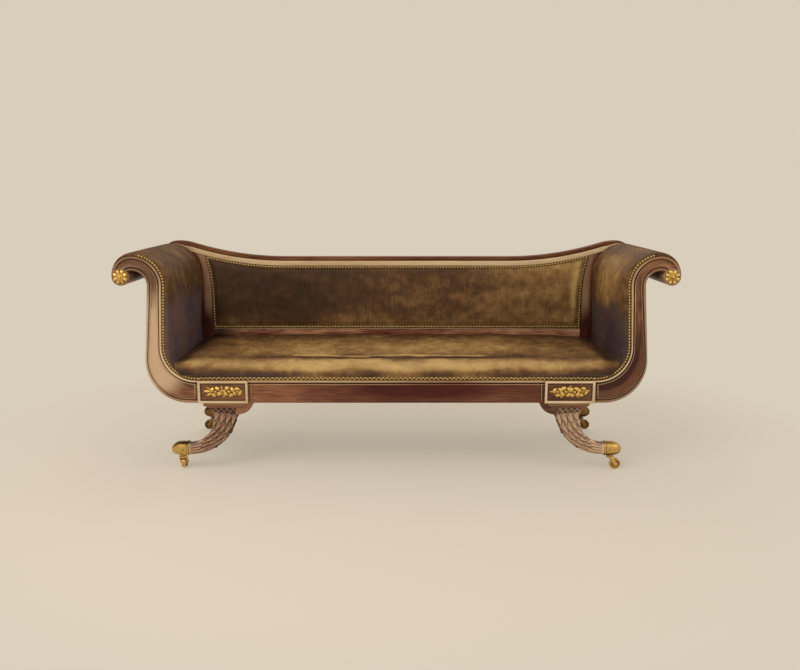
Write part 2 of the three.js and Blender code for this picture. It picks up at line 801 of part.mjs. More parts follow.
function sabreLeg(centreY) {
  const shares = stepped(12);
  const rings = shares.map((share) => {
    const [outer, inner] = legStation(share);
    const centre = outer.clone().add(inner).multiplyScalar(0.5);
    const across = outer.clone().sub(centre);
    const halfWidth = lerp(legThicknessTop, legThicknessToe, share) / 2;
    return roundSection(halfWidth, across.length(), boreSides, legRoundness).map(([dy, along]) => {
      const p = across.clone().setLength(along).add(centre);
      return new THREE.Vector3(p.x, centreY + dy, p.y);
    });
  });
  return joined(loft(rings), legTenon(centreY, 0));
}

function toeCap(centreY) {
  const [outer, inner] = legStation(1);
  const mouthZ = (outer.y + inner.y) / 2;
  const halfHeight = (outer.y - inner.y) / 2 + toeCapWall;
  const halfWidth = legThicknessToe / 2 + toeCapWall;
  const start = toeX + fitGap;
  const nose = toeCapLength - toeCapBarrel;
  const ring = (x, size, grow, drop) => {
    const section = roundSection(halfWidth * size + grow, halfHeight * size + grow, boreSides, toeCapRoundness);
    return section.map(([dy, dz]) => new THREE.Vector3(x, centreY + dy, mouthZ - drop + dz));
  };
  const rim = [[0, toeCapRimProud], [toeCapRim, toeCapRimProud], [toeCapRim, 0]];
  const round = stepped(6).slice(0, -1).map((share) => quarter * share);
  const body = loft([
    ...rim.map(([x, grow]) => ring(start + x, 1, grow, 0)),
    ...round.map((angle) => ring(start + toeCapBarrel + nose * Math.sin(angle), Math.cos(angle), 0,
      toeCapNoseDrop * (1 - Math.cos(angle)))),
    ring(start + toeCapLength, noseEndShare, 0, toeCapNoseDrop),
  ]);
  const boreRadius = stemRadius + stemClearance;
  const bore = turnedZ([[0, 0], [boreRadius, 0], [boreRadius, boreTop], [0, boreTop]], boreSides);
  bore.translate(swivelX, centreY, 0);
  return cut(body, legTenon(centreY, fitGap), bore);
}

// Casters, drawn with the swivel axis at the origin and the wheel trailing along +X

function stadium(ax, az, bx, bz, radius, steps) {
  const along = Math.atan2(bz - az, bx - ax);
  const end = (x, z, from) => stepped(steps).map((share) => {
    const angle = from + Math.PI * share;
    return new THREE.Vector2(x + radius * Math.cos(angle), z + radius * Math.sin(angle));
  });
  return [...end(ax, az, along + quarter), ...end(bx, bz, along - quarter)];
}

function crossBore(radius, halfLength) {
  return turnedY([[0, -halfLength], [radius, -halfLength], [radius, halfLength], [0, halfLength]], boreSides,
    { x: casterTrail, z: wheelRadius });
}

function casterFork() {
  const post = turnedZ([
    [0, crownBottom], [crownRadius, crownBottom], [crownRadius, crownTop - fitGap],
    [collarRadius, crownTop], [collarRadius, crownTop + collarHeight],
    [stemRadius, crownTop + collarHeight], [stemRadius, stemTop], [0, stemTop],
  ], boreSides);
  const inside = wheelWidth / 2 + wheelSideGap;
  const outline = stadium(cheekTopX, crownTop - cheekRadius - fitGap, casterTrail, wheelRadius, cheekRadius, 8);
  const cheeks = [inside, -inside - cheekThickness].map((y) => plateXZ(outline, y, y + cheekThickness));
  return cut(joined(post, ...cheeks), crossBore(axleRadius + axleClearance, inside + 2 * cheekThickness));
}

function casterAxle() {
  const cheek = wheelWidth / 2 + wheelSideGap + cheekThickness + fitGap;
  const end = cheek + axleHeadLength;
  return turnedY([
    [0, -end], [axleHeadRadius * axleHeadTaperShare, -end], [axleHeadRadius, -cheek], [axleRadius, -cheek],
    [axleRadius, cheek], [axleHeadRadius, cheek], [axleHeadRadius * axleHeadTaperShare, end], [0, end],
  ], boreSides, { x: casterTrail, z: wheelRadius });
}

// The wheel stands on a flat of its tread, so its corners reach a little past the radius
function casterWheel() {
  const half = wheelWidth / 2;
  const rim = wheelRadius / Math.cos(Math.PI / wheelSides);
  const rimInner = wheelRadius - wheelRimDepth;
  const side = [
    [axleRadius + axleClearance, half], [wheelHubRadius, half], [wheelHubRadius + wheelRimRound, wheelWebHalf],
    [rimInner, wheelWebHalf], [rimInner + wheelRimRound / 2, half - wheelRimRound / 2],
    [rim - wheelRimRound, half - wheelRimRound / 2], [rim, half - wheelTreadInset],
  ];
  const profile = [...side.map(([r, y]) => [r, -y]), ...side.slice().reverse()];
  return turnedY([...profile, profile[0]], wheelSides, { x: casterTrail, z: wheelRadius });
}

// Upholstery

const padStartAngle = THREE.MathUtils.degToRad(-76);

// Thickness of the arm pad as a share of its full size, along its run from the seat to the eye
const padThicknessShares = [[0, 0.08], [0.15, 1], [0.5, 1], [0.62, 0.8], [0.72, 0.55], [0.85, 0.44], [1, 0.14]];

function padEdge() {
  const edge = innerEdge(0, padStartAngle);
  edge.end = arc(tip, quarter, padTipAngle);
  return [edge.corner, edge.riser, edge.scroll, edge.end];
}

const padRun = padEdge().reduce((sum, curve) => sum + curve.getLength(), 0);

function armPad() {
  const acrossShares = [[0, 0], [0, 0.4], [0.008, 0.7], [0.03, 0.92], [0.09, 1], [0.3, 1.05],
    [0.5, armPadCrownShare], [0.75, 1.05], [0.93, 1], [1, 0.85], [1, 0]];
  const counts = [9, 4, 9, 7];
  let before = 0;
  const stations = padEdge().flatMap((curve, i) => {
    const start = before;
    const length = curve.getLength();
    before += length;
    return stepped(counts[i]).slice(i ? 1 : 0).map((share) => {
      const tangent = curve.getTangent(share);
      return { point: curve.getPoint(share), normal: new THREE.Vector2(-tangent.y, tangent.x),
        run: Math.min(1, (start + share * length) / padRun) };
    });
  });
  return loft(stations.map(({ point, normal, run }) => {
    const thickness = armPadThickness * blendAlong(padThicknessShares, run);
    return acrossShares.map(([across, up]) => {
      const p = normal.clone().multiplyScalar(curveGap + thickness * up).add(point);
      return new THREE.Vector3(p.x, lerp(padFrontY, padRearY, across), p.y);
    });
  }));
}

// Point on the seat pad's end, which follows the corner of the arm and then the arm pad
function seatEnd(angle) {
  const run = Math.max(0, innerCorner.r * (angle - padStartAngle) / padRun);
  const padDepth = armPadThickness * armPadCrownShare * blendAlong(padThicknessShares, run) + seatPadGap;
  const radius = innerCorner.r - curveGap - padDepth;
  return [innerCorner.x + radius * Math.cos(angle), innerCorner.z + radius * Math.sin(angle)];
}

function seatPad() {
  const rolled = (y) => ({ y, rise: Math.sqrt(1 - (1 - (y - padFrontY) / seatRollLength) ** 2) });
  const rollShares = [0, 0.02, 0.08, 0.18, 0.32, 0.7, 1];
  const roll = rollShares.map((share) => padFrontY + seatRollLength * share);
  const stations = [
    ...[...roll, padBorderEnd, padBorderEnd + webbingThickness].sort((a, b) => a - b).map(rolled),
    { y: 0, rise: 1.02 },
    { y: padRearY - seatRollLength, rise: 1.02 },
    { y: padRearY - seatRollLength / 4, rise: 1 },
    { y: padRearY, rise: 0.9 },
  ];
  const topShares = [0.985, 0.95, 0.87, 0.7, 0.4];
  return loft(stations.map(({ y, rise }) => {
    const bottom = seatRailTop + fitGap + (y > padBorderEnd ? webbingThickness + fitGap : 0);
    const reach = lerp(seatFrontEndShare, 1, Math.min(1, rise));
    const ends = stepped(6).map((share) => seatEnd(lerp(-quarter, seatEndAngle, reach * share)))
      .map(([x, z]) => [x, Math.max(z, bottom)]);
    const [endX, endZ] = ends[ends.length - 1];
    const crown = Math.max(endZ + seatBorderCrown, bottom + seatPadHeight * rise);
    const top = topShares.map((share) => [endX * share, lerp(endZ, crown, Math.sqrt(1 - share ** 8))]);
    const half = [...ends, ...top];
    const ring = [[0, bottom], ...half, [0, crown], ...half.map(([x, z]) => [-x, z]).reverse()];
    return ring.map(([x, z]) => new THREE.Vector3(x, y, z));
  }));
}

function backPad() {
  const bottom = panelBottom + fitGap;
  const edgeAt = (up) => {
    let z = lerp(bottom, panelTop.z, up);
    for (let i = 0; i < 4; i += 1) z = lerp(bottom, crestBottom(panelEdge(z)) - fitGap, up);
    return panelEdge(z) - backPadGap;
  };
  const upShares = [0, 0.03, 0.12, 0.3, 0.45, 0.55, 0.65, 0.75, 0.86, 0.97, 1];
  const places = crestPlaces().map((x) => x / edgeAt(1)).filter((along) => along < 0.96);
  const alongShares = bothSides([0.1, 0.3, ...places, 0.985, 1]);
  const crown = (along, up) => ((1 - along ** 6) * (1 - (2 * up - 1) ** 4)) ** 0.4;
  const grid = (depth) => alongShares.map((along) => upShares.map((up) => {
    const x = along * edgeAt(up);
    const z = lerp(bottom, crestBottom(x) - fitGap, up);
    return new THREE.Vector3(x, depth(along, up), z);
  }));
  const bulge = backPadProud - backPadEdgeProud;
  const front = grid((along, up) => backFaceY - backPadEdgeProud - bulge * crown(along, up));
  const back = grid(() => backFaceY + backPadDepth);
  return pillow(front, back);
}

// Finishes

function finish(color, roughness, metalness) {
  return new THREE.MeshStandardMaterial({ color, roughness, metalness });
}

const mahogany = finish(0x6e4630, 0.4, 0);
const darkMahogany = finish(0x4a2a22, 0.4, 0);
const innerWood = finish(0x9a7a55, 0.7, 0);
const leather = finish(0x5f4c33, 0.55, 0);
const gilt = finish(0xb98e3a, 0.35, 1);
const brass = finish(0xa07c34, 0.35, 1);
const webbing = finish(0x8d7a58, 0.9, 0);

// Assembly

const sofa = new THREE.Group();

function add(name, geometry, material) {
  const mesh = new THREE.Mesh(geometry, material);
  mesh.name = name;
  sofa.add(mesh);
  return mesh;
}

function addPair(name, geometry, material) {
  add(`${name}_right`, geometry, material);
  add(`${name}_left`, mirrored(geometry), material);
}

add('front_seat_rail', frontSeatRail(), mahogany);
add('rear_seat_rail', rearSeatRail(), innerWood);
addPair('side_rail', sideRail(), innerWood);
addPair('seat_brace', seatBrace(), innerWood);
add('seat_webbing', seatWebbing(), webbing);
addPair('front_arm_support', frontArmSupport(), mahogany);
addPair('rear_arm_support', rearArmSupport(), mahogany);
addPair('arm_roll', armRoll(), mahogany);
addPair('arm_top_rail', armTopRail(), innerWood);
addPair('outside_arm_cover', outsideArmCover(), leather);
add('crest_rail', crestRail(), mahogany);
add('back_lower_rail', backLowerRail(), mahogany);
addPair('back_stile', backStile(), mahogany);
add('outside_back_cover', outsideBack(), leather);
addPair('tablet', tablet(), darkMahogany);
addPair('tablet_mount', tabletMount(), gilt);
addPair('arm_rosette', rosette(), gilt);
add('seat_pad', seatPad(), leather);
addPair('arm_pad', armPad(), leather);
add('back_pad', backPad(), leather);

for (const [end, y] of Object.entries(legCentreY)) {
  addPair(`${end}_leg_cap_block`, legCapBlock(y), mahogany);
  addPair(`${end}_leg`, sabreLeg(y), mahogany);
  addPair(`${end}_toe_cap`, toeCap(y), brass);
}

// Each caster stands turned as it is seen: the angle is the way its wheel trails
const casterTurns = [
  ['front_left', -1, legCentreY.front, quarter],
  ['front_right', 1, legCentreY.front, 0],
  ['rear_left', -1, legCentreY.rear, Math.PI],
  ['rear_right', 1, legCentreY.rear, 0],
];

for (const [place, side, y, turn] of casterTurns) {
  const pieces = [['fork', casterFork()], ['axle', casterAxle()], ['wheel', casterWheel()]];
  for (const [piece, geometry] of pieces) {
    const mesh = add(`caster_${piece}_${place}`, geometry, brass);
    mesh.position.set(side * swivelX, y, 0);
    mesh.rotation.z = turn;
  }
}

export default sofa;
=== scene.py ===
import math

import bpy
import numpy as np
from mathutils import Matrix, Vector


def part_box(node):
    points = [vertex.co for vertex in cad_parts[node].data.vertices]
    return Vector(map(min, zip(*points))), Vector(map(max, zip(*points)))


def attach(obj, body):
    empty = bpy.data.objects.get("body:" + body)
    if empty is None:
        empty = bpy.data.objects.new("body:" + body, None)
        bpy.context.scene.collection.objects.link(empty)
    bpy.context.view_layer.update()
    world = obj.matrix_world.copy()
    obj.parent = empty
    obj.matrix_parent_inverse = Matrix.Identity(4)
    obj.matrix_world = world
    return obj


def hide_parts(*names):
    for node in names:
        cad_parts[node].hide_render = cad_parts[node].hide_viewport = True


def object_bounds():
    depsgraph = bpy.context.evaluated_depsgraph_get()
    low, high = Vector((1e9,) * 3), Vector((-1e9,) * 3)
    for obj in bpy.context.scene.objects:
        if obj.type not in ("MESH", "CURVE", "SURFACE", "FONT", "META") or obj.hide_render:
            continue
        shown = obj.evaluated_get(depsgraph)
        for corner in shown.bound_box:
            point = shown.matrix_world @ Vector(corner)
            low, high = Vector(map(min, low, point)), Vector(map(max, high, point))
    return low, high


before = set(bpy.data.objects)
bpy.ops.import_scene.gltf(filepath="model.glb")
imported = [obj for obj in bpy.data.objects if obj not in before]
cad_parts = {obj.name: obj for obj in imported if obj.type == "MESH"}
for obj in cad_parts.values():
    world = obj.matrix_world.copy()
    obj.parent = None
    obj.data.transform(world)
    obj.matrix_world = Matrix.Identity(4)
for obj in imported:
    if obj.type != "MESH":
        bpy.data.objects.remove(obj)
cad_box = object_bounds()

# Stance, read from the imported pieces
rail_low, rail_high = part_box("front_seat_rail")
stile_low, stile_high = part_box("back_stile_right")
lower_rail_low, lower_rail_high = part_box("back_lower_rail")
RAIL_END = rail_high.x
SEAT_TOP = rail_high.z
RAIL_BOTTOM = rail_low.z
FRONT_FACE = rail_low.y
FRONT_INNER = rail_high.y
BACK_FACE = stile_low.y
REAR_FACE = stile_high.y
REAR_INNER = REAR_FACE - 0.060
PANEL_BOTTOM = lower_rail_high.z
CREST_BACK = cad_box[1].y

# Circles of the arm outline as X, Z and radius
INNER_CORNER = (RAIL_END + 0.007, SEAT_TOP + 0.127, 0.127)
OUTER_CORNER = (RAIL_END + 0.037, RAIL_BOTTOM + 0.162, 0.162)
SCROLL_TOP = (RAIL_END + 0.232, SEAT_TOP + 0.370, 0.110)
SCROLL_UNDER = (SCROLL_TOP[0], SCROLL_TOP[1], 0.055)
TIP = (SCROLL_TOP[0], SCROLL_TOP[1] + 0.034, 0.076)
EYE = (TIP[0] + 0.043, TIP[1] - 0.002)
EYE_RADIUS = 0.033
EYE_PROUD = 0.0014
EYE_SINK = 0.001
UNDER_END = math.radians(55)
QUARTER = math.pi / 2
FIT = 0.0003

# Mouldings shared by the arm supports and the front rail
BEAD = 0.010
BEAD_HEIGHT = 0.004
GROOVE = 0.004
GROOVE_DEPTH = 0.006
COCK_BEAD = 0.0045
COCK_BEAD_HEIGHT = 0.0022
FIELD_DEPTH = 0.003
HOLLOW_DEPTH = 0.0045
HOLLOW_RUN = 0.012
RETURN_START = 0.010

# Back panel and crest rail
PANEL_HALF = RAIL_END + 0.057
FLARE_START = 0.620
FLARE_RADIUS = 0.668
CREST_STRAIGHT = RAIL_END - 0.271
CREST_MIDDLE = 0.801
CREST_RISE_RADIUS = 1.385
CREST_RISE_LENGTH = 0.405
CREST_PEAK_RADIUS = 0.230
CREST_HEIGHT = 0.041
CREST_FACE = 0.022
CREST_STEP = 0.002
TAIL_START = RAIL_END + 0.211
TAIL_LENGTH = 0.046
CURVE_GAP = 0.0008

# Upholstery
PAD_FRONT = FRONT_FACE + 0.008
PAD_REAR = BACK_FACE - FIT
ARM_PAD_THICKNESS = 0.027
ARM_PAD_CROWN = 1.07
PAD_START = math.radians(-76)
PAD_END = math.radians(3)
SEAT_END = math.radians(-35)
SEAT_HEIGHT = 0.055
COVER_LIFT = 0.008
COVER_THICKNESS = 0.006

# Cloth run that stuffs the cushions
SHEET_GAP = 0.014
STUFFING_FRAMES = 20

# Close nailing and gimp
NAIL_RADIUS = 0.0039
NAIL_HEIGHT = 0.0026
NAIL_DRIFT = 0.00035
NAIL_INSET = 0.0058
NAIL_PITCH = 0.0115
SEAT_NAIL_PITCH = 0.0086
SEAT_NAIL_STAGGER = 0.0022
PANEL_NAIL_PITCH = 0.0128
OUTSIDE_NAIL_PITCH = 0.012
BACK_NAIL_INSET = 0.009
ARM_NAIL_INSET = 0.007
GIMP_WIDTH = 0.0105
GIMP_THICKNESS = 0.0018
GIMP_STEP = 0.0016
GIMP_SCALLOP = 0.0062
NAIL_SEAT = GIMP_THICKNESS * 0.8

scene = bpy.context.scene


# Shapes: outlines, sections and closed forms


def smooth(value, low, high):
    """0 below low and 1 above high, with a soft step between them."""
    t = np.clip((np.asarray(value, float) - low) / (high - low), 0, 1)
    return t * t * (3 - 2 * t)


def window(value, low, high, soft):
    """1 between low and high, falling to 0 over a soft edge on each side."""
    return smooth(value, low - soft, low) * (1 - smooth(value, high, high + soft))


def arc(circle, start, end, count, lift=0.0):
    """Points of a circle from one angle to another; lift is added to its radius."""
    x, z, radius = circle
    angles = np.linspace(start, end, count)
    return np.stack([x + (radius + lift) * np.cos(angles), z + (radius + lift) * np.sin(angles)], 1)


def length_along(points):
    """Distance along a line to each of its points."""
    steps = np.linalg.norm(np.diff(points, axis=0), axis=1)
    return np.concatenate([[0], np.cumsum(steps)])


def resampled(points, shares):
    """Points at these shares of a line's length."""
    length = length_along(points)
    wanted = np.asarray(shares) * length[-1]
    return np.stack([np.interp(wanted, length, column) for column in points.T], 1)


def unit(vectors):
    """Each row at a length of 1."""
    return vectors / np.linalg.norm(vectors, axis=1)[:, None]


def beside(line):
    """Unit vectors to the left of a line's own way, at each of its points."""
    ahead = unit(np.gradient(line, axis=0))
    return np.stack([-ahead[:, 1], ahead[:, 0]], 1)


def ease_rows(values):
    """Draws each inner row of a line or grid towards its neighbours, in place."""
    values[1:-1] = (values[:-2] + 2 * values[1:-1] + values[2:]) / 4


def both_ways(half):
    """A list that starts at 0, led by its own negatives in reverse."""
    return np.concatenate([-half[:0:-1], half])


def cross_tangent(corner, scroll):
    """Heading of the straight that leaves the corner's circle and crosses over to the scroll's."""
    dx, dz = scroll[0] - corner[0], scroll[1] - corner[1]
    return math.atan2(dz, dx) + math.asin((corner[2] + scroll[2]) / math.hypot(dx, dz))


INNER_HEADING = cross_tangent(INNER_CORNER, SCROLL_TOP)
OUTER_HEADING = cross_tangent(OUTER_CORNER, SCROLL_UNDER)


def inner_edge(lift, start, end=0.0):
    """Corner, scroll and tip of the arm's inner edge; lift moves them to the upholstered side."""
    corner = arc(INNER_CORNER, start, INNER_HEADING - QUARTER, 90, -lift)
    scroll = arc(SCROLL_TOP, INNER_HEADING + QUARTER, QUARTER, 90, lift)
    return corner, scroll, arc(TIP, QUARTER, end, 60, lift)


def outer_edge(lift, end):
    """Corner, scroll and end of the arm's outer edge; lift moves them into the arm."""
    corner = arc(OUTER_CORNER, -QUARTER, OUTER_HEADING - QUARTER, 90, -lift)
    scroll = arc(SCROLL_UNDER, OUTER_HEADING + QUARTER, QUARTER, 90, lift)
    return corner, scroll, arc(SCROLL_UNDER, QUARTER, end, 30, lift)


def from_rail(corner, start):
    """A corner curve with the straight that leads to it from the rail's end."""
    return np.vstack([[[start, corner[0, 1]]], corner])


def arm_stations():
    """Facing points on the two edges of an arm, from the rail's end to the eye."""
    near_rail = np.linspace(0, 0.12, 30)
    shares = [np.concatenate([near_rail, np.linspace(0.12, 1, 50)[1:]]),
              np.linspace(0, 1, 16)[1:], np.linspace(0, 1, 50)[1:], np.linspace(0, 1, 40)[1:]]
    edges = []
    for corner, scroll, end in (inner_edge(0, -QUARTER), outer_edge(0, UNDER_END)):
        riser = np.stack([corner[-1], scroll[0]])
        pieces = [from_rail(corner, RAIL_END + FIT), riser, scroll, end]
        edges.append(np.vstack([resampled(p, s) for p, s in zip(pieces, shares)]))
    return edges


def crest_top(x):
    """Height of the crest's upper line: level, rising, then rounded over its peak."""
    run = np.maximum(0, np.abs(x) - CREST_STRAIGHT)
    climb = np.minimum(run, CREST_RISE_LENGTH)
    rising = CREST_MIDDLE + CREST_RISE_RADIUS - np.sqrt(CREST_RISE_RADIUS ** 2 - climb ** 2)
    slope = math.asin(CREST_RISE_LENGTH / CREST_RISE_RADIUS)
    past = run - CREST_RISE_LENGTH - CREST_PEAK_RADIUS * math.sin(slope)
    peak = np.sqrt(np.maximum(0, CREST_PEAK_RADIUS ** 2 - past ** 2)) - CREST_PEAK_RADIUS * math.cos(slope)
    rise_end = CREST_MIDDLE + CREST_RISE_RADIUS * (1 - math.cos(slope))
    return np.where(run <= CREST_RISE_LENGTH, rising, rise_end + peak)


def support_top(x):
    """Top of the rear arm support under the crest's tail."""
    tops = []
    for middle, z, radius in (TIP, SCROLL_TOP):
        aside = np.abs(x - middle)
        tops.append(z + np.sqrt(np.maximum(0, radius ** 2 - aside ** 2)) * (aside < radius))
    over_scroll = np.where(np.abs(x - SCROLL_TOP[0]) < SCROLL_TOP[2], tops[1], 0)
    return np.where(x > SCROLL_TOP[0], tops[0], over_scroll)


def crest_bottom(x):
    """Height of the crest's lower line, clear of the arm under its tail."""
    return np.maximum(crest_top(x) - CREST_HEIGHT, support_top(np.abs(x)) + CURVE_GAP)


def panel_edge(z):
    """Half width of the back panel's opening at a height: upright, then flared."""
    rise = np.maximum(0, z - FLARE_START)
    return PANEL_HALF + FLARE_RADIUS - np.sqrt(FLARE_RADIUS ** 2 - rise ** 2)


def rounded(power, count):
    """Directions round a section between an ellipse and a rectangle, of size 1."""
    angles = np.linspace(0, 2 * math.pi, count, endpoint=False)
    c, s = np.cos(angles), np.sin(angles)
    grow = (np.abs(c) ** power + np.abs(s) ** power) ** (-1 / power)
    return grow * c, grow * s


def grid_faces(rows, columns, round_rows=False, round_columns=False):
    """Four-cornered faces over a grid of points, which may close on itself either way."""
    faces = []
    for i in range(rows if round_rows else rows - 1):
        here, ahead = i * columns, (i + 1) % rows * columns
        for j in range(columns if round_columns else columns - 1):
            k = (j + 1) % columns
            faces.append([here + j, here + k, ahead + k, ahead + j])
    return faces


def linked(name, data):
    """A new object of the scene that holds this data."""
    thing = bpy.data.objects.new(name, data)
    scene.collection.objects.link(thing)
    return thing


def measured(name):
    """Low corner, high corner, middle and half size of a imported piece."""
    low, high = (np.array(corner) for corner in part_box(name))
    return low, high, (low + high) / 2, (high - low) / 2


class Form:
    """Closed parts of one piece, gathered with the values painted on their points."""

    def __init__(self):
        self.points, self.faces, self.paint, self.count = [], [], {}, 0

    def add(self, points, faces, **paint):
        """One closed part; its faces are turned outward."""
        points = np.asarray(points, float).reshape(-1, 3)
        faces = [list(face) for face in faces]
        fans = [(f[0], f[i], f[i + 1]) for f in faces for i in range(1, len(f) - 1)]
        a, b, c = (points[list(corner)] for corner in zip(*fans))
        if np.einsum("ij,ij->", a, np.cross(b, c)) < 0:
            faces = [f[::-1] for f in faces]
        self.faces += [[i + self.count for i in f] for f in faces]
        self.points.append(points)
        for name in {*self.paint, *paint}:
            rows = self.paint.setdefault(name, [np.zeros(self.count)])
            rows.append(np.broadcast_to(np.ravel(paint.get(name, 0.0)), len(points)))
        self.count += len(points)

    def tube(self, rings, **paint):
        """A form through rings of equally many points, closed by a face at each end."""
        rings = np.asarray(rings, float)
        rows, columns = rings.shape[:2]
        ends = [list(range(columns))[::-1], [(rows - 1) * columns + j for j in range(columns)]]
        self.add(rings.reshape(-1, 3), grid_faces(rows, columns, round_columns=True) + ends, **paint)

    def turned(self, profile, sides, place, **paint):
        """A round form; the profile holds radius and length, and place maps X, Y, Z of each ring."""
        angles = np.linspace(0, 2 * math.pi, sides, endpoint=False)
        rings = [[place(r * math.cos(a), r * math.sin(a), along) for a in angles] for r, along in profile]
        self.tube(rings, **paint)

    def ring(self, profile, sides, place, **paint):
        """A round form with a hole; the profile is a closed loop of radius and length."""
        angles = np.linspace(0, 2 * math.pi, sides, endpoint=False)
        points = [place(r * math.cos(a), r * math.sin(a), along) for a in angles for r, along in profile]
        self.add(points, grid_faces(sides, len(profile), True, True), **paint)

    def made(self, name, finish, body="frame", slot=None, replaces=(), uv=None, angle=40):
        """The finished piece, riding on its body; uv lists the map's places, one array for each part."""
        mesh = bpy.data.meshes.new(name)
        mesh.from_pydata(np.vstack(self.points).tolist(), [], self.faces)
        mesh.update()
        for key, rows in self.paint.items():
            values = np.concatenate(rows).astype(np.float32)
            mesh.attributes.new(key, "FLOAT", "POINT").data.foreach_set("value", values)
        if uv is not None:
            corners = np.zeros(len(mesh.loops), np.int32)
            mesh.loops.foreach_get("vertex_index", corners)
            layer = mesh.uv_layers.new(name="UVMap")
            layer.data.foreach_set("uv", np.vstack(uv).astype(np.float32)[corners].ravel())
        mesh.shade_smooth()
        mesh.set_sharp_from_angle(angle=math.radians(angle))
        mesh.materials.append(finish)
        return settle(linked(name, mesh), body, slot, replaces)

    def stand_in(self, name, ending, finish, slot, **more):
        """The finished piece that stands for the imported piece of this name."""
        return self.made(name + ending, finish, slot=slot, replaces=[name], **more)


def settle(piece, body, slot, replaces=()):
    """Puts a piece on its body and hides the imported pieces that it stands for; its slot is not used."""
    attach(piece, body)
    if replaces:
        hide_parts(*replaces)
    return piece


def sided(points, side):
    """Points of the right-hand side, or their mirror for the left."""
    points = np.array(points, float)
    if side < 0:
        points[..., 0] *= -1
    return points


def at_eye(side):
    """A map from a round piece's own X, Z and Y to the eye of an arm's scroll."""
    return lambda x, z, y: (side * (EYE[0] + x), y, EYE[1] + z)


SIDES = (("left", -1), ("right", 1))
CORNERS = ((-1, -1), (1, -1), (1, 1), (-1, 1))

# Sides of the round forms at the eyes, and the radius at which their ends close
EYE_SIDES = 64
EYE_CORE = 0.0005


# Finishes


class Value:
    """A socket of a finish; the operators add Math nodes to it."""

    def __init__(self, finish, socket):
        self.finish, self.socket = finish, socket

    def maths(self, operation, *others):
        """A Math node over this value and others."""
        return self.finish.maths(operation, self, *others)

    def __add__(self, other):
        return self.maths("ADD", other)

    def __sub__(self, other):
        return self.maths("SUBTRACT", other)

    def __rsub__(self, other):
        return self.finish.maths("SUBTRACT", other, self)

    def __mul__(self, other):
        return self.maths("MULTIPLY", other)

    __radd__ = __add__
    __rmul__ = __mul__


def tone(code):
    """A colour written as it looks on screen, as the linear values that a socket takes."""
    parts = [int(code[i:i + 2], 16) / 255 for i in (0, 2, 4)]
    return [*(c / 12.92 if c <= 0.04045 else ((c + 0.055) / 1.055) ** 2.4 for c in parts), 1.0]


class Finish:
    """One material and its nodes."""

    def __init__(self, name):
        self.material = bpy.data.materials.new(name)
        self.material.use_nodes = True
        self.tree = self.material.node_tree
        self.surface = self.tree.nodes["Principled BSDF"]

    def put(self, socket, value):
        """Links a value to a socket, or sets a plain number or colour on it."""
        if isinstance(value, Value):
            self.tree.links.new(value.socket, socket)
        else:
            socket.default_value = value

    def add(self, kind, settings, inputs, output=0):
        """One node, with its settings, the values or links of its sockets, and the output that is used."""
        node = self.tree.nodes.new("ShaderNode" + kind)
        for name, value in settings.items():
            if name == "stops":
                ramp = node.color_ramp.elements
                while len(ramp) < len(value):
                    ramp.new(0.5)
                for stop, (place, code) in zip(ramp, value):
                    stop.position, stop.color = place, tone(code)
            else:
                setattr(node, name, value)
        for name, value in inputs.items():
            self.put(node.inputs[name], value)
        return Value(self, node.outputs[output])

    def maths(self, operation, *terms):
        """A Math node over these terms."""
        return self.add("Math", {"operation": operation}, dict(enumerate(terms)))

    def place(self, source="Object"):
        """Coordinates of a point: the object's own, or those of its UV map."""
        return self.add("TexCoord", {}, {}, source)

    def painted(self, name):
        """A value painted on the points of a form."""
        return self.add("Attribute", {"attribute_name": name}, {}, "Fac")

    def axis(self, vector, name):
        """One axis of a vector."""
        return self.add("SeparateXYZ", {}, {"Vector": vector}, name)

    def stretched(self, vector, scale):
        """Coordinates with a scale for each axis."""
        return self.add("Mapping", {}, {"Vector": vector, "Scale": scale})

    def noise(self, vector, scale=1.0, detail=3.0, roughness=0.5):
        """Noise from 0 to 1, finer with a larger scale."""
        inputs = {"Vector": vector, "Scale": scale, "Detail": detail, "Roughness": roughness}
        return self.add("TexNoise", {}, inputs, "Fac")

    def step(self, value, low, high):
        """0 below low and 1 above high."""
        inputs = {"Value": value, "From Min": low, "From Max": high}
        return self.add("MapRange", {"interpolation_type": "SMOOTHSTEP"}, inputs)

    def mix(self, factor, a, b):
        """From colour a at 0 to colour b at 1; a code may stand for a colour."""
        a, b = (tone(colour) if isinstance(colour, str) else colour for colour in (a, b))
        return self.add("Mix", {"data_type": "RGBA"}, {0: factor, 6: a, 7: b}, 2)

    def ramp(self, value, *stops):
        """A colour by value, through stops of place and code."""
        return self.add("ValToRGB", {"stops": stops}, {"Fac": value})

    def bump(self, height, strength, distance):
        """A fine relief by height."""
        return self.add("Bump", {}, {"Height": height, "Strength": strength, "Distance": distance})

    def done(self, **inputs):
        """The material, with these inputs of its surface set."""
        for name, value in inputs.items():
            self.put(self.surface.inputs[name.replace("_", " ")], value)
        return self.material


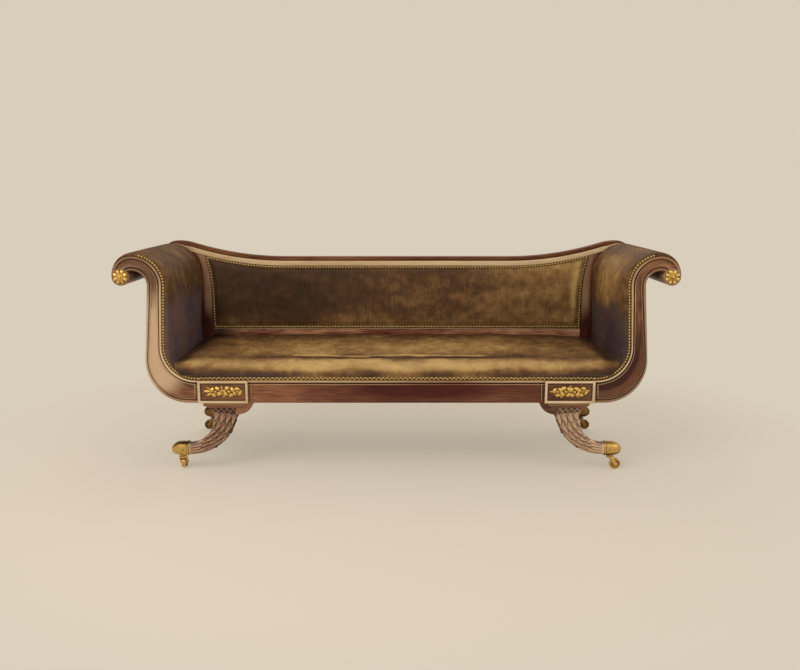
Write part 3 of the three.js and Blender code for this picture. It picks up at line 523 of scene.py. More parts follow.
def mahogany(name, field, pale, deep, source="Object", along=(1, 0, 0), patches=None, polish=0.24):
    """Polished mahogany: field is three codes from dark to light, and along is the way of its grain.
    Pale is the colour where a piece is painted pale, mostly painted highlight and wear; deep is that of its
    pores and its painted shade; patches add colour by place, much of it painted light and shade."""
    f = Finish(name)
    place = f.place(source)
    streak = f.noise(f.stretched(place, [14 + 150 * (1 - a) for a in along]), 1.0, 5.0, 0.6)
    figure = f.noise(f.stretched(place, [2.2 + 7 * (1 - a) for a in along]), 1.0, 3.0, 0.55)
    pores = f.noise(f.stretched(place, [60 + 1500 * (1 - a) for a in along]), 1.0, 2.0, 0.5)
    shade = f.step(0.55 * figure + 0.45 * streak, 0.36, 0.66)
    colour = f.ramp(shade, (0.0, field[0]), (0.5, field[1]), (1.0, field[2]))
    if patches:
        colour = patches(f, colour, streak, figure)
    colour = f.mix(0.45 * f.step(pores, 0.62, 0.75), colour, deep)
    # Painted highlight and wear where the piece is painted pale, then painted shade where it is painted deep
    edge = f.painted("pale") * (0.55 + 0.6 * streak)
    colour = f.mix(edge, colour, f.mix(f.step(figure, 0.4, 0.65), pale[0], pale[1]))
    colour = f.mix(f.painted("deep") * 0.85, colour, deep)
    rough = 0.30 + 0.16 * streak + 0.10 * f.painted("deep")
    return f.done(Base_Color=colour, Roughness=rough, Specular_IOR_Level=polish, Coat_Weight=0.08,
                  Coat_Roughness=0.2, Normal=f.bump(streak * 0.6 + pores * 0.4, 0.25, 0.0006))


def leather(name, tones, threads, soil=0.35, shadow=("453638", "54423a"), sheen=0.14, drift=(1, 1, 1)):
    """Waxed hide: tones run from painted shade to a golden painted highlight, and threads is the way of its
    faint lines.
    Soil darkens those lines, shadow is the two colours of its painted shade, and drift stretches its clouds."""
    f = Finish(name)
    place = f.place()
    cloud = f.noise(f.stretched(place, drift), 5.5, 5.0, 0.62)
    mottle = f.noise(place, 26.0, 4.0, 0.6)
    lines = f.noise(f.stretched(place, [18 + 420 * (1 - a) for a in threads]), 1.0, 3.0, 0.6)
    cells = {"Vector": place, "Scale": 520.0}
    grain = f.add("TexVoronoi", {"feature": "DISTANCE_TO_EDGE"}, cells, "Distance")
    fibre = f.noise(place, 900.0, 2.0, 0.6)
    # Painted light of each point, broken by clouds, mottle and faint lines, with the painted shade mixed over
    # it after
    glow = f.painted("glow") + 0.52 * (cloud - 0.5) + 0.40 * (mottle - 0.5) + 0.50 * (lines - 0.5)
    colour = f.ramp(f.step(glow, 0.0, 1.0), *zip((0.0, 0.34, 0.62, 1.0), tones))
    dusk = f.painted("dusk") * (0.65 + 0.7 * (mottle - 0.2))
    colour = f.mix(f.step(dusk, 0.05, 0.95), colour, f.mix(f.step(cloud, 0.4, 0.6), *shadow))
    colour = f.mix(soil * f.step(lines, 0.52, 0.75), colour, tones[0])
    height = f.step(grain, 0.0, 0.08) * 0.5 + fibre * 0.25 + lines * 0.35
    rough = 0.52 + 0.16 * mottle - 0.08 * f.painted("glow")
    return f.done(Base_Color=colour, Roughness=rough, Specular_IOR_Level=sheen,
                  Normal=f.bump(height, 0.30, 0.0007))


def metal(name, bright, dark, rough, relief=0.25):
    """Gilt or brass, bright where it is rubbed, and dark in its hollows and where painted shade is put on it.
    """
    f = Finish(name)
    place = f.place()
    tarnish = f.noise(place, 38.0, 5.0, 0.65)
    pits = f.noise(place, 420.0, 3.0, 0.6)
    hollow = f.painted("deep") * 0.85 + 0.5 * f.step(tarnish, 0.52, 0.74)
    colour = f.mix(f.step(hollow, 0.05, 0.95), bright, dark)
    return f.done(Base_Color=colour, Metallic=1.0, Roughness=rough + 0.18 * tarnish,
                  Normal=f.bump(pits, relief, 0.0004))


def arms_painted_light(f, colour, streak, figure):
    """Painted light on the arm supports: a tan painted highlight over the left arm round its corner, weaker
    by the tablet, and darker brown over its scroll; the right arm is painted darker below as shade, dark red
    inward and browner outward.
    """
    place = f.place()
    x, z = f.axis(place, "X"), f.axis(place, "Z")
    left = 1 - f.step(x, -0.5, 0.5)
    height = f.step(z, 0.26, 0.40) * (1 - f.step(z, 0.52, 0.84))
    near_tablet = f.step(x, -0.90, -0.79)
    painted_highlight = left * height * (1 - 0.8 * near_tablet) * (0.75 + 0.5 * figure)
    colour = f.mix(f.step(painted_highlight, 0.1, 0.8), colour, f.mix(streak, "b08f6e", "d1b392"))
    scroll = left * f.step(z, 0.68, 0.80)
    colour = f.mix(scroll * 0.75, colour, f.mix(streak, "4f3022", "785540"))
    low = (1 - left) * (1 - f.step(z, 0.46, 0.63))
    outward = f.step(f.axis(f.place("UV"), "Y") + 0.020 * (figure - 0.5), 0.036, 0.058)
    colour = f.mix(low * outward * 0.7, colour, f.mix(streak, "3c1c10", "6e452d"))
    # The darkest red is painted shade on the inner side of the right arm's lower part
    sunk = low * (1 - outward) * f.step(figure + 0.3 * streak, 0.25, 0.53)
    return f.mix(sunk, colour, f.mix(streak, "240804", "4a1c11"))


def reddened_and_shaded_rail(f, colour, streak, figure):
    """The rail is a deep red past its middle and browner at its left and along its foot, with the red painted
    deeper under its bead as shade.
    """
    place = f.place()
    x, z = f.axis(place, "X"), f.axis(place, "Z")
    shade_under_bead = 0.72 + 0.36 * f.step(z + 0.02 * figure, RAIL_BOTTOM + 0.022, RAIL_BOTTOM + 0.056)
    red = f.step(x, -0.40, 0.0) * (1 - 0.45 * f.step(x, 0.15, 0.5)) * (0.80 + 0.6 * figure) * shade_under_bead
    return f.mix(red, colour, f.mix(streak, "260301", "57190c"))


def lit_right_leg(f, colour, streak, figure):
    """The legs on the right are the lighter ones."""
    lit = f.step(f.axis(f.place(), "X"), -0.3, 0.3)
    return f.mix(lit * 0.85, colour, f.mix(streak, "987460", "c6a180"))


arm_wood = mahogany("arm support mahogany", ("4a2414", "7d5335", "9a6e47"), ("d6bb92", "ae8560"), "260f0a",
                    source="UV", along=(1, 0, 0), patches=arms_painted_light)
rail_wood = mahogany("front rail mahogany", ("643624", "885839", "9e6d49"), ("bfa278", "9a7350"), "270f0b",
                     patches=reddened_and_shaded_rail)
crest_wood = mahogany("crest mahogany", ("482213", "633819", "744a25"), ("dabf97", "cbad86"), "33170f",
                      polish=0.05)
back_wood = mahogany("back frame mahogany", ("5a281b", "a06d4f", "c0946c"), ("d8b98e", "b89067"), "24100b")
stile_wood = mahogany("back stile mahogany", ("3a120b", "56281c", "6d4433"), ("b08a68", "8f6649"), "220c08",
                      along=(0, 0, 1))
tablet_wood = mahogany("tablet mahogany", ("502e1b", "6e482d", "89623e"), ("e0c69e", "c7a47a"), "2a120c")
leg_wood = mahogany("carved leg mahogany", ("5a3526", "7b5440", "96705a"), ("dcbd98", "c6a17e"), "200c07",
                    source="UV", along=(1, 0, 0), patches=lit_right_leg)
plain_wood = mahogany("plain mahogany", ("523020", "7a5138", "946b49"), ("b08a63", "8f6647"), "2a140d")
upright_wood = mahogany("rear arm mahogany", ("4a271b", "6e4633", "876045"), ("b08a63", "8f6647"), "2a140d",
                        source="UV", along=(1, 0, 0))
rear_wood = mahogany("rear rail mahogany", ("4e2c1d", "6c452f", "82593d"), ("b08a63", "8f6647"), "2a140d")
beech = mahogany("beech of the inner frame", ("8a6a48", "a58358", "b9986c"), ("c9ab80", "bd9c70"), "6b4c30")
beech.node_tree.nodes["Principled BSDF"].inputs["Coat Weight"].default_value = 0.0

# Colours of the hide, from its darkest painted shade to its golden painted highlight
hide = ("2c1d13", "553a24", "87643a", "c7a468")
seat_hide = leather("seat leather", hide, (0, 1, 0))
back_hide = leather("back leather", hide, (0, 0, 1), 0.5, drift=(0.55, 1, 1.4))
# The two arms differ only in the colours of their painted shade
arm_hide = {"left": leather("left arm leather", hide, (0, 0, 1), 0.25, ("574750", "68534d"), 0.05),
            "right": leather("right arm leather", hide, (0, 0, 1), 0.25, ("433539", "4f403b"), 0.05)}
outside_hide = leather("outside leather", ("2c1d13", "4a3322", "6b4e30", "8a6a40"), (0, 0, 1), 0.5)

gilt = metal("gilt of the mounts", tone("deb96c"), tone("5f3a12"), 0.34)
# The rear brass is painted darker, as in shade behind the front legs
brass = {"front": metal("front caster brass", tone("cfae66"), tone("4c2d10"), 0.30),
         "rear": metal("shaded rear caster brass", tone("8c6c40"), tone("3c2711"), 0.40)}
nail_brass = metal("nail brass", tone("cdb272"), tone("6a5428"), 0.36, 0.1)


def gimp_braid():
    """Olive and gold braid in slanting strands; the UV map runs along and across it in metres."""
    f = Finish("gimp braid")
    uv = f.place("UV")
    along, across = f.axis(uv, "X"), f.axis(uv, "Y")
    strands = (along * 2600 + (across * 900).maths("ABSOLUTE")).maths("SINE")
    fuzz = f.noise(f.place(), 500.0, 3.0, 0.6)
    shade = f.step(0.5 + 0.35 * strands + 0.6 * (fuzz - 0.5), 0.1, 0.95)
    colour = f.ramp(shade, (0.0, "2c1d08"), (0.5, "574014"), (1.0, "866726"))
    relief = f.bump(0.5 + 0.5 * strands + 0.3 * fuzz, 0.5, 0.0008)
    return f.done(Base_Color=colour, Roughness=0.7, Normal=relief)


gimp_finish = gimp_braid()


def jute():
    """Plain woven jute of the webbing."""
    f = Finish("jute webbing")
    place = f.place()
    x, y = f.axis(place, "X"), f.axis(place, "Y")
    warp = (x * 1800).maths("SINE")
    weft = (y * 1800).maths("SINE")
    weave = 0.5 + 0.5 * (warp * weft)
    stripe = f.noise(place, 60.0, 3.0, 0.6)
    colour = f.mix(f.step(weave * 0.6 + stripe * 0.4, 0.2, 0.8), "6d5838", "a68f66")
    return f.done(Base_Color=colour, Roughness=0.92, Normal=f.bump(weave, 0.6, 0.0008))


# Showwood of the front


def moulded_depth(from_edge, from_end):
    """Depth behind the front face of a band's moulding, by distance from its edge and from its end."""
    groove_end = BEAD + GROOVE
    bead = BEAD_HEIGHT * (1 - np.sin(np.pi * np.clip(from_edge / BEAD, 0, 1)))
    frame_line = np.minimum(from_edge - groove_end, from_end)
    cock = FIELD_DEPTH - COCK_BEAD_HEIGHT * np.sin(np.pi * np.clip(frame_line / COCK_BEAD, 0, 1))
    sinking = smooth(frame_line, COCK_BEAD, COCK_BEAD + HOLLOW_RUN)
    hollow = FIELD_DEPTH + (HOLLOW_DEPTH - FIELD_DEPTH) * sinking
    field = np.where(frame_line < 0, FIELD_DEPTH, np.where(frame_line < COCK_BEAD, cock, hollow))
    return np.where(from_edge < BEAD, bead, np.where(from_edge < groove_end, GROOVE_DEPTH, field))


def moulded_paint(from_edge, from_end):
    """Wear and painted highlight on the beads, and painted shade in the groove, along the outer arris and
    round the cock bead, at each point of the moulding.
    """
    frame_line = np.minimum(from_edge - BEAD - GROOVE, from_end)
    cock = (frame_line >= 0.0006) & (frame_line <= COCK_BEAD - 0.0006)
    bead = window(from_edge, 0.002, 0.0078, 0.0015)
    pale = np.where(from_edge < BEAD, bead, np.where(cock, 0.75, 0.0))
    in_groove = (from_edge >= BEAD) & (from_edge < BEAD + GROOVE)
    deep = np.where(in_groove, 0.9, np.where(from_edge < 0.0008, 0.5, 0.0))
    rim = ((frame_line > COCK_BEAD - 0.0006) & (frame_line < COCK_BEAD + 0.0015)).astype(float)
    return pale, np.maximum(deep, 0.5 * rim)


# Distances in from a band's edge: over its bead, its groove, its cock bead and into its hollow
EDGE_PLACES = np.array([0, 0.0004, 0.0012, 0.0025, 0.004, 0.0055, 0.007, 0.0085, 0.0096, 0.01, 0.0102, 0.012,
                        0.0138, 0.014, 0.0146, 0.0158, 0.0172, 0.018, 0.0186, 0.0205, 0.024, 0.030])
EDGE_ROOM = 0.0305


def band_places(width):
    """Distances across a band from its inner edge, fine at both mouldings."""
    near = EDGE_PLACES * min(1, width / 2 / EDGE_ROOM)
    return np.concatenate([near, [width / 2], width - near[::-1]])


def across_band(inner, outer, places):
    """Points at these distances on the line from the inner edge to the outer."""
    share = (places / np.linalg.norm(outer - inner))[:, None]
    return inner * (1 - share) + outer * share


def arm_run(inner, outer):
    """Distance along the middle of an arm's band, from the rail's end."""
    return length_along((inner + outer) / 2)


def eye_disc(form, profile, side, **paint):
    """Adds a turned disc at the eye of a scroll, and gives the grain map of its points."""
    form.turned(profile, EYE_SIDES, at_eye(side), **paint)
    return form.points[-1][:, [0, 2]] * [0.3, 1]


def front_arm_support(side_name, side):
    """The moulded band of an arm's front, with a rimmed disc at the eye of its scroll."""
    inner, outer = arm_stations()
    run = arm_run(inner, outer)
    rings, pale, deep, uv = [], [], [], []
    for i, (a, b) in enumerate(zip(inner, outer)):
        width = np.linalg.norm(b - a)
        places = band_places(width)
        from_edge = np.minimum(places, width - places)
        from_end = run[i] - RETURN_START
        xz = across_band(a, b, places)
        front = np.stack([xz[:, 0], FRONT_FACE + moulded_depth(from_edge, from_end), xz[:, 1]], 1)
        rear = np.array([[b[0], FRONT_INNER, b[1]], [a[0], FRONT_INNER, a[1]]])
        rings.append(np.vstack([front, rear]))
        light, dark = moulded_paint(from_edge, from_end)
        # The painted highlight on the beads is weaker on the band's outer half, over the scroll and at its
        # top
        light = light * np.where(places > width / 2, 0.42, 1) * (1 - 0.4 * float(smooth(a[1], 0.66, 0.80)))
        light = light * (1 - 0.6 * float(smooth(a[1], SEAT_TOP + 0.43, SEAT_TOP + 0.475)))
        pale.append(np.append(light, [0, 0]))
        deep.append(np.append(dark, [0, 0]))
        uv.append(np.stack([np.full(len(places) + 2, run[i]), np.append(places, [width + 0.03, -0.03])], 1))
    form = Form()
    form.tube(sided(rings, side), pale=pale, deep=deep)
    y0, y1 = FRONT_FACE - EYE_PROUD, FRONT_INNER - FIT
    rim = EYE_RADIUS - 0.003
    profile = [(EYE_CORE, y0 + EYE_SINK), (rim - 0.001, y0 + EYE_SINK), (rim, y0 + 0.0004),
               (rim + 0.0012, y0), (rim + 0.0024, y0 + 0.0006), (EYE_RADIUS, y0 + 0.0025),
               (EYE_RADIUS, y1), (EYE_CORE, y1)]
    # The eye's rim gets a little wear and painted highlight
    uv.append(eye_disc(form, profile, side, pale=0.35, deep=0.0))
    return form.stand_in("front_arm_support_" + side_name, "_moulded", arm_wood, "mahogany", uv=uv, angle=50)


def rear_arm_support(side_name, side):
    """The plain rear band of an arm, with eased edges."""
    inner, outer = arm_stations()
    run = arm_run(inner, outer)
    ease = 0.002
    depth = [REAR_INNER + ease, REAR_FACE - ease, *[REAR_FACE] * 3, REAR_FACE - ease, REAR_INNER + ease,
             *[REAR_INNER] * 3]
    rings, uv = [], []
    for i, (a, b) in enumerate(zip(inner, outer)):
        width = np.linalg.norm(b - a)
        places = np.array([0, 0, ease, width / 2, width - ease, width, width, width - ease, width / 2, ease])
        xz = across_band(a, b, places)
        rings.append(np.stack([xz[:, 0], depth, xz[:, 1]], 1))
        uv.append(np.stack([np.full(len(places), run[i]), places], 1))
    form = Form()
    form.tube(sided(rings, side))
    y0, y1 = REAR_INNER + FIT, REAR_FACE - FIT
    profile = [(EYE_CORE, y0), (EYE_RADIUS, y0), (EYE_RADIUS, y1 - ease), (EYE_RADIUS - ease, y1),
               (EYE_CORE, y1)]
    uv.append(eye_disc(form, profile, side))
    return form.stand_in("rear_arm_support_" + side_name, "_eased", upright_wood, "mahogany", uv=uv)


def arm_roll(side_name, side):
    """The turned roll between the eyes of an arm's two scrolls."""
    y0, y1 = FRONT_INNER + FIT, REAR_INNER - FIT
    profile = [(EYE_CORE, y0), (EYE_RADIUS, y0), (EYE_RADIUS, y1), (EYE_CORE, y1)]
    form = Form()
    # Painted shade over the whole roll, which lies in the shadow of the scrolls
    form.turned(profile, EYE_SIDES, at_eye(side), deep=0.5)
    return form.stand_in("arm_roll_" + side_name, "_turned", plain_wood, "mahogany")


def front_rail():
    """The rail's moulded face: bead, quirk, cock bead, sunk field and base band.
    A small bead crosses the field near each of its ends."""
    top, face = SEAT_TOP, FRONT_FACE
    line, line_end = top - 0.015, top - 0.019
    base = RAIL_BOTTOM + 0.007
    bead = [(face + BEAD_HEIGHT * (1 - math.sin(a)), top - BEAD * (1 + math.cos(a)) / 2)
            for a in np.linspace(0, np.pi, 9)][::-1]
    cock = [(face + FIELD_DEPTH - 0.002 * math.sin(a), line + (line_end - line) * a / math.pi)
            for a in np.linspace(0, np.pi, 7)]
    outline = [(FRONT_INNER, top), *bead, (face + GROOVE_DEPTH, top - BEAD), (face + GROOVE_DEPTH, line),
               *cock, (face + FIELD_DEPTH, base + 0.0004), (face + FIELD_DEPTH - 0.0008, base),
               (face + 0.0014, base - 0.0004), (face + 0.001, base - 0.001),
               (face + 0.001, RAIL_BOTTOM + 0.001), (face + 0.002, RAIL_BOTTOM), (FRONT_INNER, RAIL_BOTTOM)]
    y, z = np.array(outline).T
    shown = y < FRONT_INNER
    # Wear and painted highlight on the bead and the cock bead; painted shade in the quirk
    pale = shown * (window(top - z, 0.0015, 0.0085, 0.001) + 0.7 * window(top - z, 0.0155, 0.0185, 0.0005))
    deep = shown * (y >= face + GROOVE_DEPTH - 1e-6) * 0.9
    field = (z <= line_end + 1e-6) & (z > base)
    end_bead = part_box("tablet_right")[0].x - 0.013
    half = np.concatenate([np.linspace(0, end_bead - 0.004, 28),
                           end_bead + COCK_BEAD * np.array([-0.3, 0, 0.15, 0.3, 0.5, 0.7, 0.85, 1, 1.3]),
                           [end_bead + 0.010, RAIL_END]])
    rings, light, dark = [], [], []
    for x in both_ways(half):
        past = (abs(x) - end_bead) / COCK_BEAD
        on_bead = 0.1 < past < 0.9
        by_bead = -0.35 < past < 0.05 or 0.95 < past < 1.35
        proud = 0.002 * math.sin(math.pi * min(1, max(0, past)))
        rings.append(np.stack([np.full(len(y), x), y - proud * field, z], 1))
        # The small end beads get painted highlight, with painted shade beside them
        light.append(np.where(field & on_bead, 0.7, pale))
        dark.append(np.where(field & by_bead, 0.6, deep))
    form = Form()
    form.tube(rings, pale=light, deep=dark)
    return form.stand_in("front_seat_rail", "_moulded", rail_wood, "mahogany", angle=50)


def tablet(side_name, side):
    """A tablet with a moulded frame round its sunk field."""
    low, high, middle, half = measured("tablet_right")
    front, back = low[1], high[1]
    sunk = front + 0.005
    # Inset from the tablet's edge, depth, pale and deep of each ring; pale is wear and painted highlight on
    # the frame, deep is painted shade round the sunk field and over the right tablet's field
    rows = [(0, back, 0, 0), (0, front + 0.002, 0, 0), (0.0005, front + 0.0008, 1, 0), (0.002, front, 1, 0),
            (0.0035, front + 0.0005, 1, 0), (0.0045, front + 0.0002, 1, 0), (0.007, front - 0.0003, 1, 0),
            (0.009, front + 0.0006, 1, 0), (0.0104, front + 0.0022, 0.4, 0.3), (0.011, sunk - 0.0002, 0, 1),
            (0.013, sunk, 0, 0.6), (0.018, sunk, 0, 0 if side < 0 else 0.2)]
    rings, pale, deep = [], [], []
    for inset, y, light, dark in rows:
        reach_x, reach_z = half[0] - inset, half[2] - inset
        rings.append([(middle[0] + a * reach_x, y, middle[2] + b * reach_z) for a, b in CORNERS])
        pale += [light] * 4
        deep += [dark] * 4
    form = Form()
    form.tube(sided(rings, side), pale=pale, deep=deep)
    return form.stand_in("tablet_" + side_name, "_framed", tablet_wood, "dark_mahogany", angle=30)


# Crest rail, stiles and lower rail


def crest_places():
    """Places along the crest, closer together where its tail rounds off."""
    tail = TAIL_START + TAIL_LENGTH * (1 - (1 - np.linspace(0, 0.995, 14)) ** 2)
    return both_ways(np.concatenate([np.linspace(0, CREST_STRAIGHT, 12, endpoint=False),
                                     np.linspace(CREST_STRAIGHT, TAIL_START, 44, endpoint=False), tail]))


def crest_rail():
    """The wave-shaped crest: a pale flat face under a rounded dark moulding, tapered into its tails."""
    depth = CREST_BACK - BACK_FACE
    step = BACK_FACE + CREST_STEP
    turn = math.pi * np.linspace(0, 1, 15)[1:-1]
    rings, pale, deep = [], [], []
    for x in crest_places():
        past = max(0, abs(x) - TAIL_START) / TAIL_LENGTH
        bottom = float(crest_bottom(x))
        height = (float(crest_top(x)) - bottom) * math.sqrt(max(1e-4, 1 - past ** 2))
        face = bottom + min(CREST_FACE, height * CREST_FACE / CREST_HEIGHT)
        lift = bottom + height - face
        flat = face - bottom
        # Y, Z, pale and deep of each point of the section; deep is painted shade at the step under the
        # moulding and along the foot
        section = [(BACK_FACE, bottom, 0, 0.4), (BACK_FACE - 0.0006, bottom + 0.08 * flat, 1, 0),
                   (BACK_FACE - 0.0008, bottom + 0.5 * flat, 1, 0),
                   (BACK_FACE - 0.0004, bottom + 0.9 * flat, 1, 0),
                   (BACK_FACE + 0.0004, face - 0.0002, 1, 0), (step, face, 0, 1)]
        for t in turn:
            y = step + (depth - CREST_STEP) * (1 - math.cos(t)) / 2
            section.append((y, face + lift * math.sin(t) ** 0.7, 0, 0))
        section += [(CREST_BACK, face, 0, 0), (CREST_BACK, bottom + 0.4 * flat, 0, 0),
                    (REAR_FACE + FIT, bottom, 0, 0)]
        rings.append([(x, y, z) for y, z, _, _ in section])
        fade = 1 - 0.75 * float(smooth(-x, 0.86, 0.98))
        pale += [light * fade for _, _, light, _ in section]
        deep += [dark for _, _, _, dark in section]
    form = Form()
    form.tube(rings, pale=pale, deep=deep)
    return form.stand_in("crest_rail", "_shaped", crest_wood, "mahogany", angle=45)


def panel_corner_height():
    """Height at which the panel's flared side meets the crest."""
    z = CREST_MIDDLE
    for _ in range(8):
        z = float(crest_bottom(panel_edge(z)))
    return z


def back_stile(side_name, side):
    """A stile with a rounded face, between the arm's curve and the panel."""
    start = -math.acos((PANEL_HALF - INNER_CORNER[0]) / (INNER_CORNER[2] - CURVE_GAP))
    corner, scroll, _ = inner_edge(CURVE_GAP, start)
    rising = np.vstack([resampled(corner, np.linspace(0, 1, 40)), scroll])
    outer = rising[rising[:, 1] < crest_bottom(rising[:, 0]) - FIT]
    corner_z = panel_corner_height()
    levels = np.linspace(outer[0, 1], outer[-1, 1], 60)
    outer_x = np.interp(levels, outer[:, 1], outer[:, 0])
    shares = np.array([0, 0.03, 0.1, 0.22, 0.4, 0.6, 0.78, 0.9, 0.97, 1])
    face = BACK_FACE + 0.004 * (1 - np.sqrt(np.clip(1 - (2 * shares - 1) ** 4, 0, 1)))
    rings, pale, deep = [], [], []
    for i, z in enumerate(levels):
        inner_x = float(panel_edge(min(z, corner_z)))
        across = inner_x + (outer_x[i] - inner_x) * shares
        top = np.minimum(z, crest_bottom(across) - FIT)
        front = np.stack([across, face, top], 1)
        rear = [[outer_x[i], REAR_FACE, top[-1]], [inner_x, REAR_FACE, top[0]]]
        rings.append(np.vstack([front, rear]))
        # Painted highlight on the panel side of the rounded face from about 0.5 m up, wider higher; painted
        # shade on the arm side, narrower higher up
        fading = float(smooth(z, 0.50, 0.62))
        pale.append([*window(shares, 0.06, 0.30 + 0.20 * fading, 0.14) * 0.75 * fading, 0, 0])
        deep.append([*(0.9 * smooth(shares, 0.50 + 0.20 * fading, 0.85 + 0.10 * fading)), 0, 0])
    form = Form()
    form.tube(sided(rings, side), pale=pale, deep=deep)
    return form.stand_in("back_stile_" + side_name, "_rounded", stile_wood, "mahogany", angle=50)


def lower_rail():
    """The lower back rail, with a small bead along its top and dark red painted shade at its left end."""
    low, high = lower_rail_low, lower_rail_high
    face, z0, z1 = low.y, low.z, high.z
    quirk = z1 - 0.0056
    outline = [(REAR_FACE, z0), (REAR_FACE, z1), (face + 0.002, z1), (face + 0.0006, z1 - 0.0006),
               (face, z1 - 0.0018), (face, z1 - 0.0034), (face + 0.0006, z1 - 0.0046),
               (face + 0.002, z1 - 0.005), (face + 0.0028, quirk), (face + 0.002, z1 - 0.0075),
               (face + 0.002, z0 + 0.001), (face + 0.003, z0)]
    y, z = np.array(outline).T
    # Wear and painted highlight on the bead, painted shade in its quirk and, off the bead, over the left end
    pale = (y < face + 0.0025) * (z > z1 - 0.0051) * 1.0
    deep = (np.abs(z - quirk) < 1e-6) * 1.0
    stations = np.linspace(low.x, high.x, 50)
    shade_at_left_end = 1 - smooth(stations, low.x + 0.03, low.x + 0.13)
    form = Form()
    form.tube([[(x, *p) for p in outline] for x in stations], pale=np.tile(pale, len(stations)),
              deep=np.maximum(deep[None, :], shade_at_left_end[:, None] * (pale == 0)[None, :]).ravel())
    return form.stand_in("back_lower_rail", "_beaded", back_wood, "mahogany", angle=50)


# Gilt mounts and rosettes


def flower(form, centre, radius, petals, base, proud, turn=0.0, cleft=0.34, side=1):
    """A cast flower: dished petals with grooves between them round a beaded heart."""
    outs = np.array([1.0, 1.0, 0.93, 0.8, 0.64, 0.5, 0.38, 0.3, 0.26, 0.2, 0.1, 0.02])
    rises = np.array([0.0, 0.28, 0.42, 0.62, 0.72, 0.66, 0.52, 0.42, 0.72, 0.92, 1.0, 1.0])
    angles = np.linspace(0, 2 * math.pi, petals * 12, endpoint=False) + turn
    lobe = np.abs(np.sin((angles - turn) * petals / 2))
    rings, deep = [], []
    for out, rise in zip(outs, rises):
        reach = radius * out * (1 - cleft * out ** 2 * (1 - lobe ** 0.55))
        groove = (1 - lobe ** 0.5) * (0.42 if out > 0.29 else 0.0)
        ridge = 0.10 * np.cos((angles - turn) * petals * 2) * (0.3 < out < 0.9)
        height = proud * np.clip(rise - groove * min(1, 1.4 * out) + ridge, 0.0 if out >= 1 else 0.12, 1)
        x = centre[0] + reach * np.cos(angles)
        z = centre[1] + reach * np.sin(angles)
        rings.append(np.stack([x, base - height, z], 1))
        round_heart, at_foot = 0.9 if 0.28 < out < 0.45 else 0, 0.7 if rise < 0.3 else 0
        deep.append(np.clip(1.3 * (1 - lobe ** 0.5) + round_heart + at_foot, 0, 1))
    form.tube(sided(rings, side), deep=deep)


def spray_leaf(form, centre, angle, length, width, base, proud, side=1):
    """A cast leaf with a midrib and notched edges."""
    along = np.linspace(-0.5, 0.5, 15)
    across = np.linspace(-1, 1, 13)
    aside = np.abs(across)
    body = np.sqrt(np.clip(1 - (2 * along) ** 2, 0, 1)) * (1 - 0.25 * along)
    notch = 1 - 0.16 * np.abs(np.sin(along * 3.5 * math.pi))
    dark = np.clip(1.1 * (aside > 0.9) + np.exp(-((aside - 0.14) / 0.09) ** 2), 0, 1)
    rings = []
    for a, reach, cut in zip(along, body, notch):
        w = width / 2 * max(0.04, reach) * cut * across
        bulge = 0.35 + 0.65 * (1 - aside ** 1.5) * max(0.25, reach)
        bulge = bulge - 0.22 * np.exp(-((aside - 0.14) / 0.08) ** 2)
        bulge[[0, -1]] = 0.25
        x = centre[0] + length * a * math.cos(angle) - w * math.sin(angle)
        z = centre[1] + length * a * math.sin(angle) + w * math.cos(angle)
        top = np.stack([x, base - proud * bulge, z], 1)
        foot = np.stack([x[[-1, 0]], [base, base], z[[-1, 0]]], 1)
        rings.append(np.vstack([top, foot]))
    form.tube(sided(rings, side), deep=np.tile([*dark, 1, 1], len(along)))


def tablet_mount(side_name, side, flowers, leaves):
    """A gilt spray of flowers and leaves on a tablet."""
    low, high, middle, half = measured("tablet_mount_right")
    back, proud = high[1], high[1] - low[1]

    def on_tablet(along, up):
        """X and Z of a place given as shares of the mount's half sizes."""
        return middle[0] + side * half[0] * along, middle[2] + half[2] * up

    form = Form()
    for along, up, angle, length, width in leaves:
        turn = angle if side > 0 else math.pi - angle
        spray_leaf(form, on_tablet(along, up), turn, length, width, back, proud * 0.62, side)
    for along, up, radius, petals, rise in flowers:
        flower(form, on_tablet(along, up), radius, petals, back, proud * rise, 0.7 * along, side=side)
    return form.stand_in("tablet_mount_" + side_name, "_cast", gilt, "gilt", angle=60)


# Along and up the mount as shares of its half sizes, radius, petals and share of its height
LEFT_SPRAY_FLOWERS = [(-0.38, 0.00, 0.0228, 4, 1.0), (0.00, -0.10, 0.0120, 4, 0.8),
                      (0.33, 0.03, 0.0235, 4, 1.0), (0.76, 0.00, 0.0185, 3, 0.9)]
RIGHT_SPRAY_FLOWERS = [(-0.66, -0.02, 0.0200, 3, 0.9), (-0.22, 0.03, 0.0235, 4, 1.0),
                       (0.23, -0.03, 0.0228, 4, 1.0), (0.66, 0.02, 0.0205, 4, 0.9)]
# Along and up the mount, angle, length and width
LEFT_SPRAY_LEAVES = [(-0.82, 0.08, 3.15, 0.032, 0.011), (-0.74, 0.52, 2.7, 0.030, 0.009),
                     (-0.74, -0.44, 3.6, 0.030, 0.010), (-0.06, 0.60, 1.9, 0.022, 0.011),
                     (0.04, -0.66, 4.6, 0.022, 0.011), (0.94, 0.06, 0.1, 0.018, 0.010)]
RIGHT_SPRAY_LEAVES = [(-0.92, 0.02, 3.1, 0.022, 0.011), (-0.44, -0.68, 4.5, 0.020, 0.011),
                      (0.02, 0.66, 1.6, 0.020, 0.011), (0.44, -0.64, 4.9, 0.020, 0.011),
                      (0.90, 0.10, 0.15, 0.024, 0.013)]


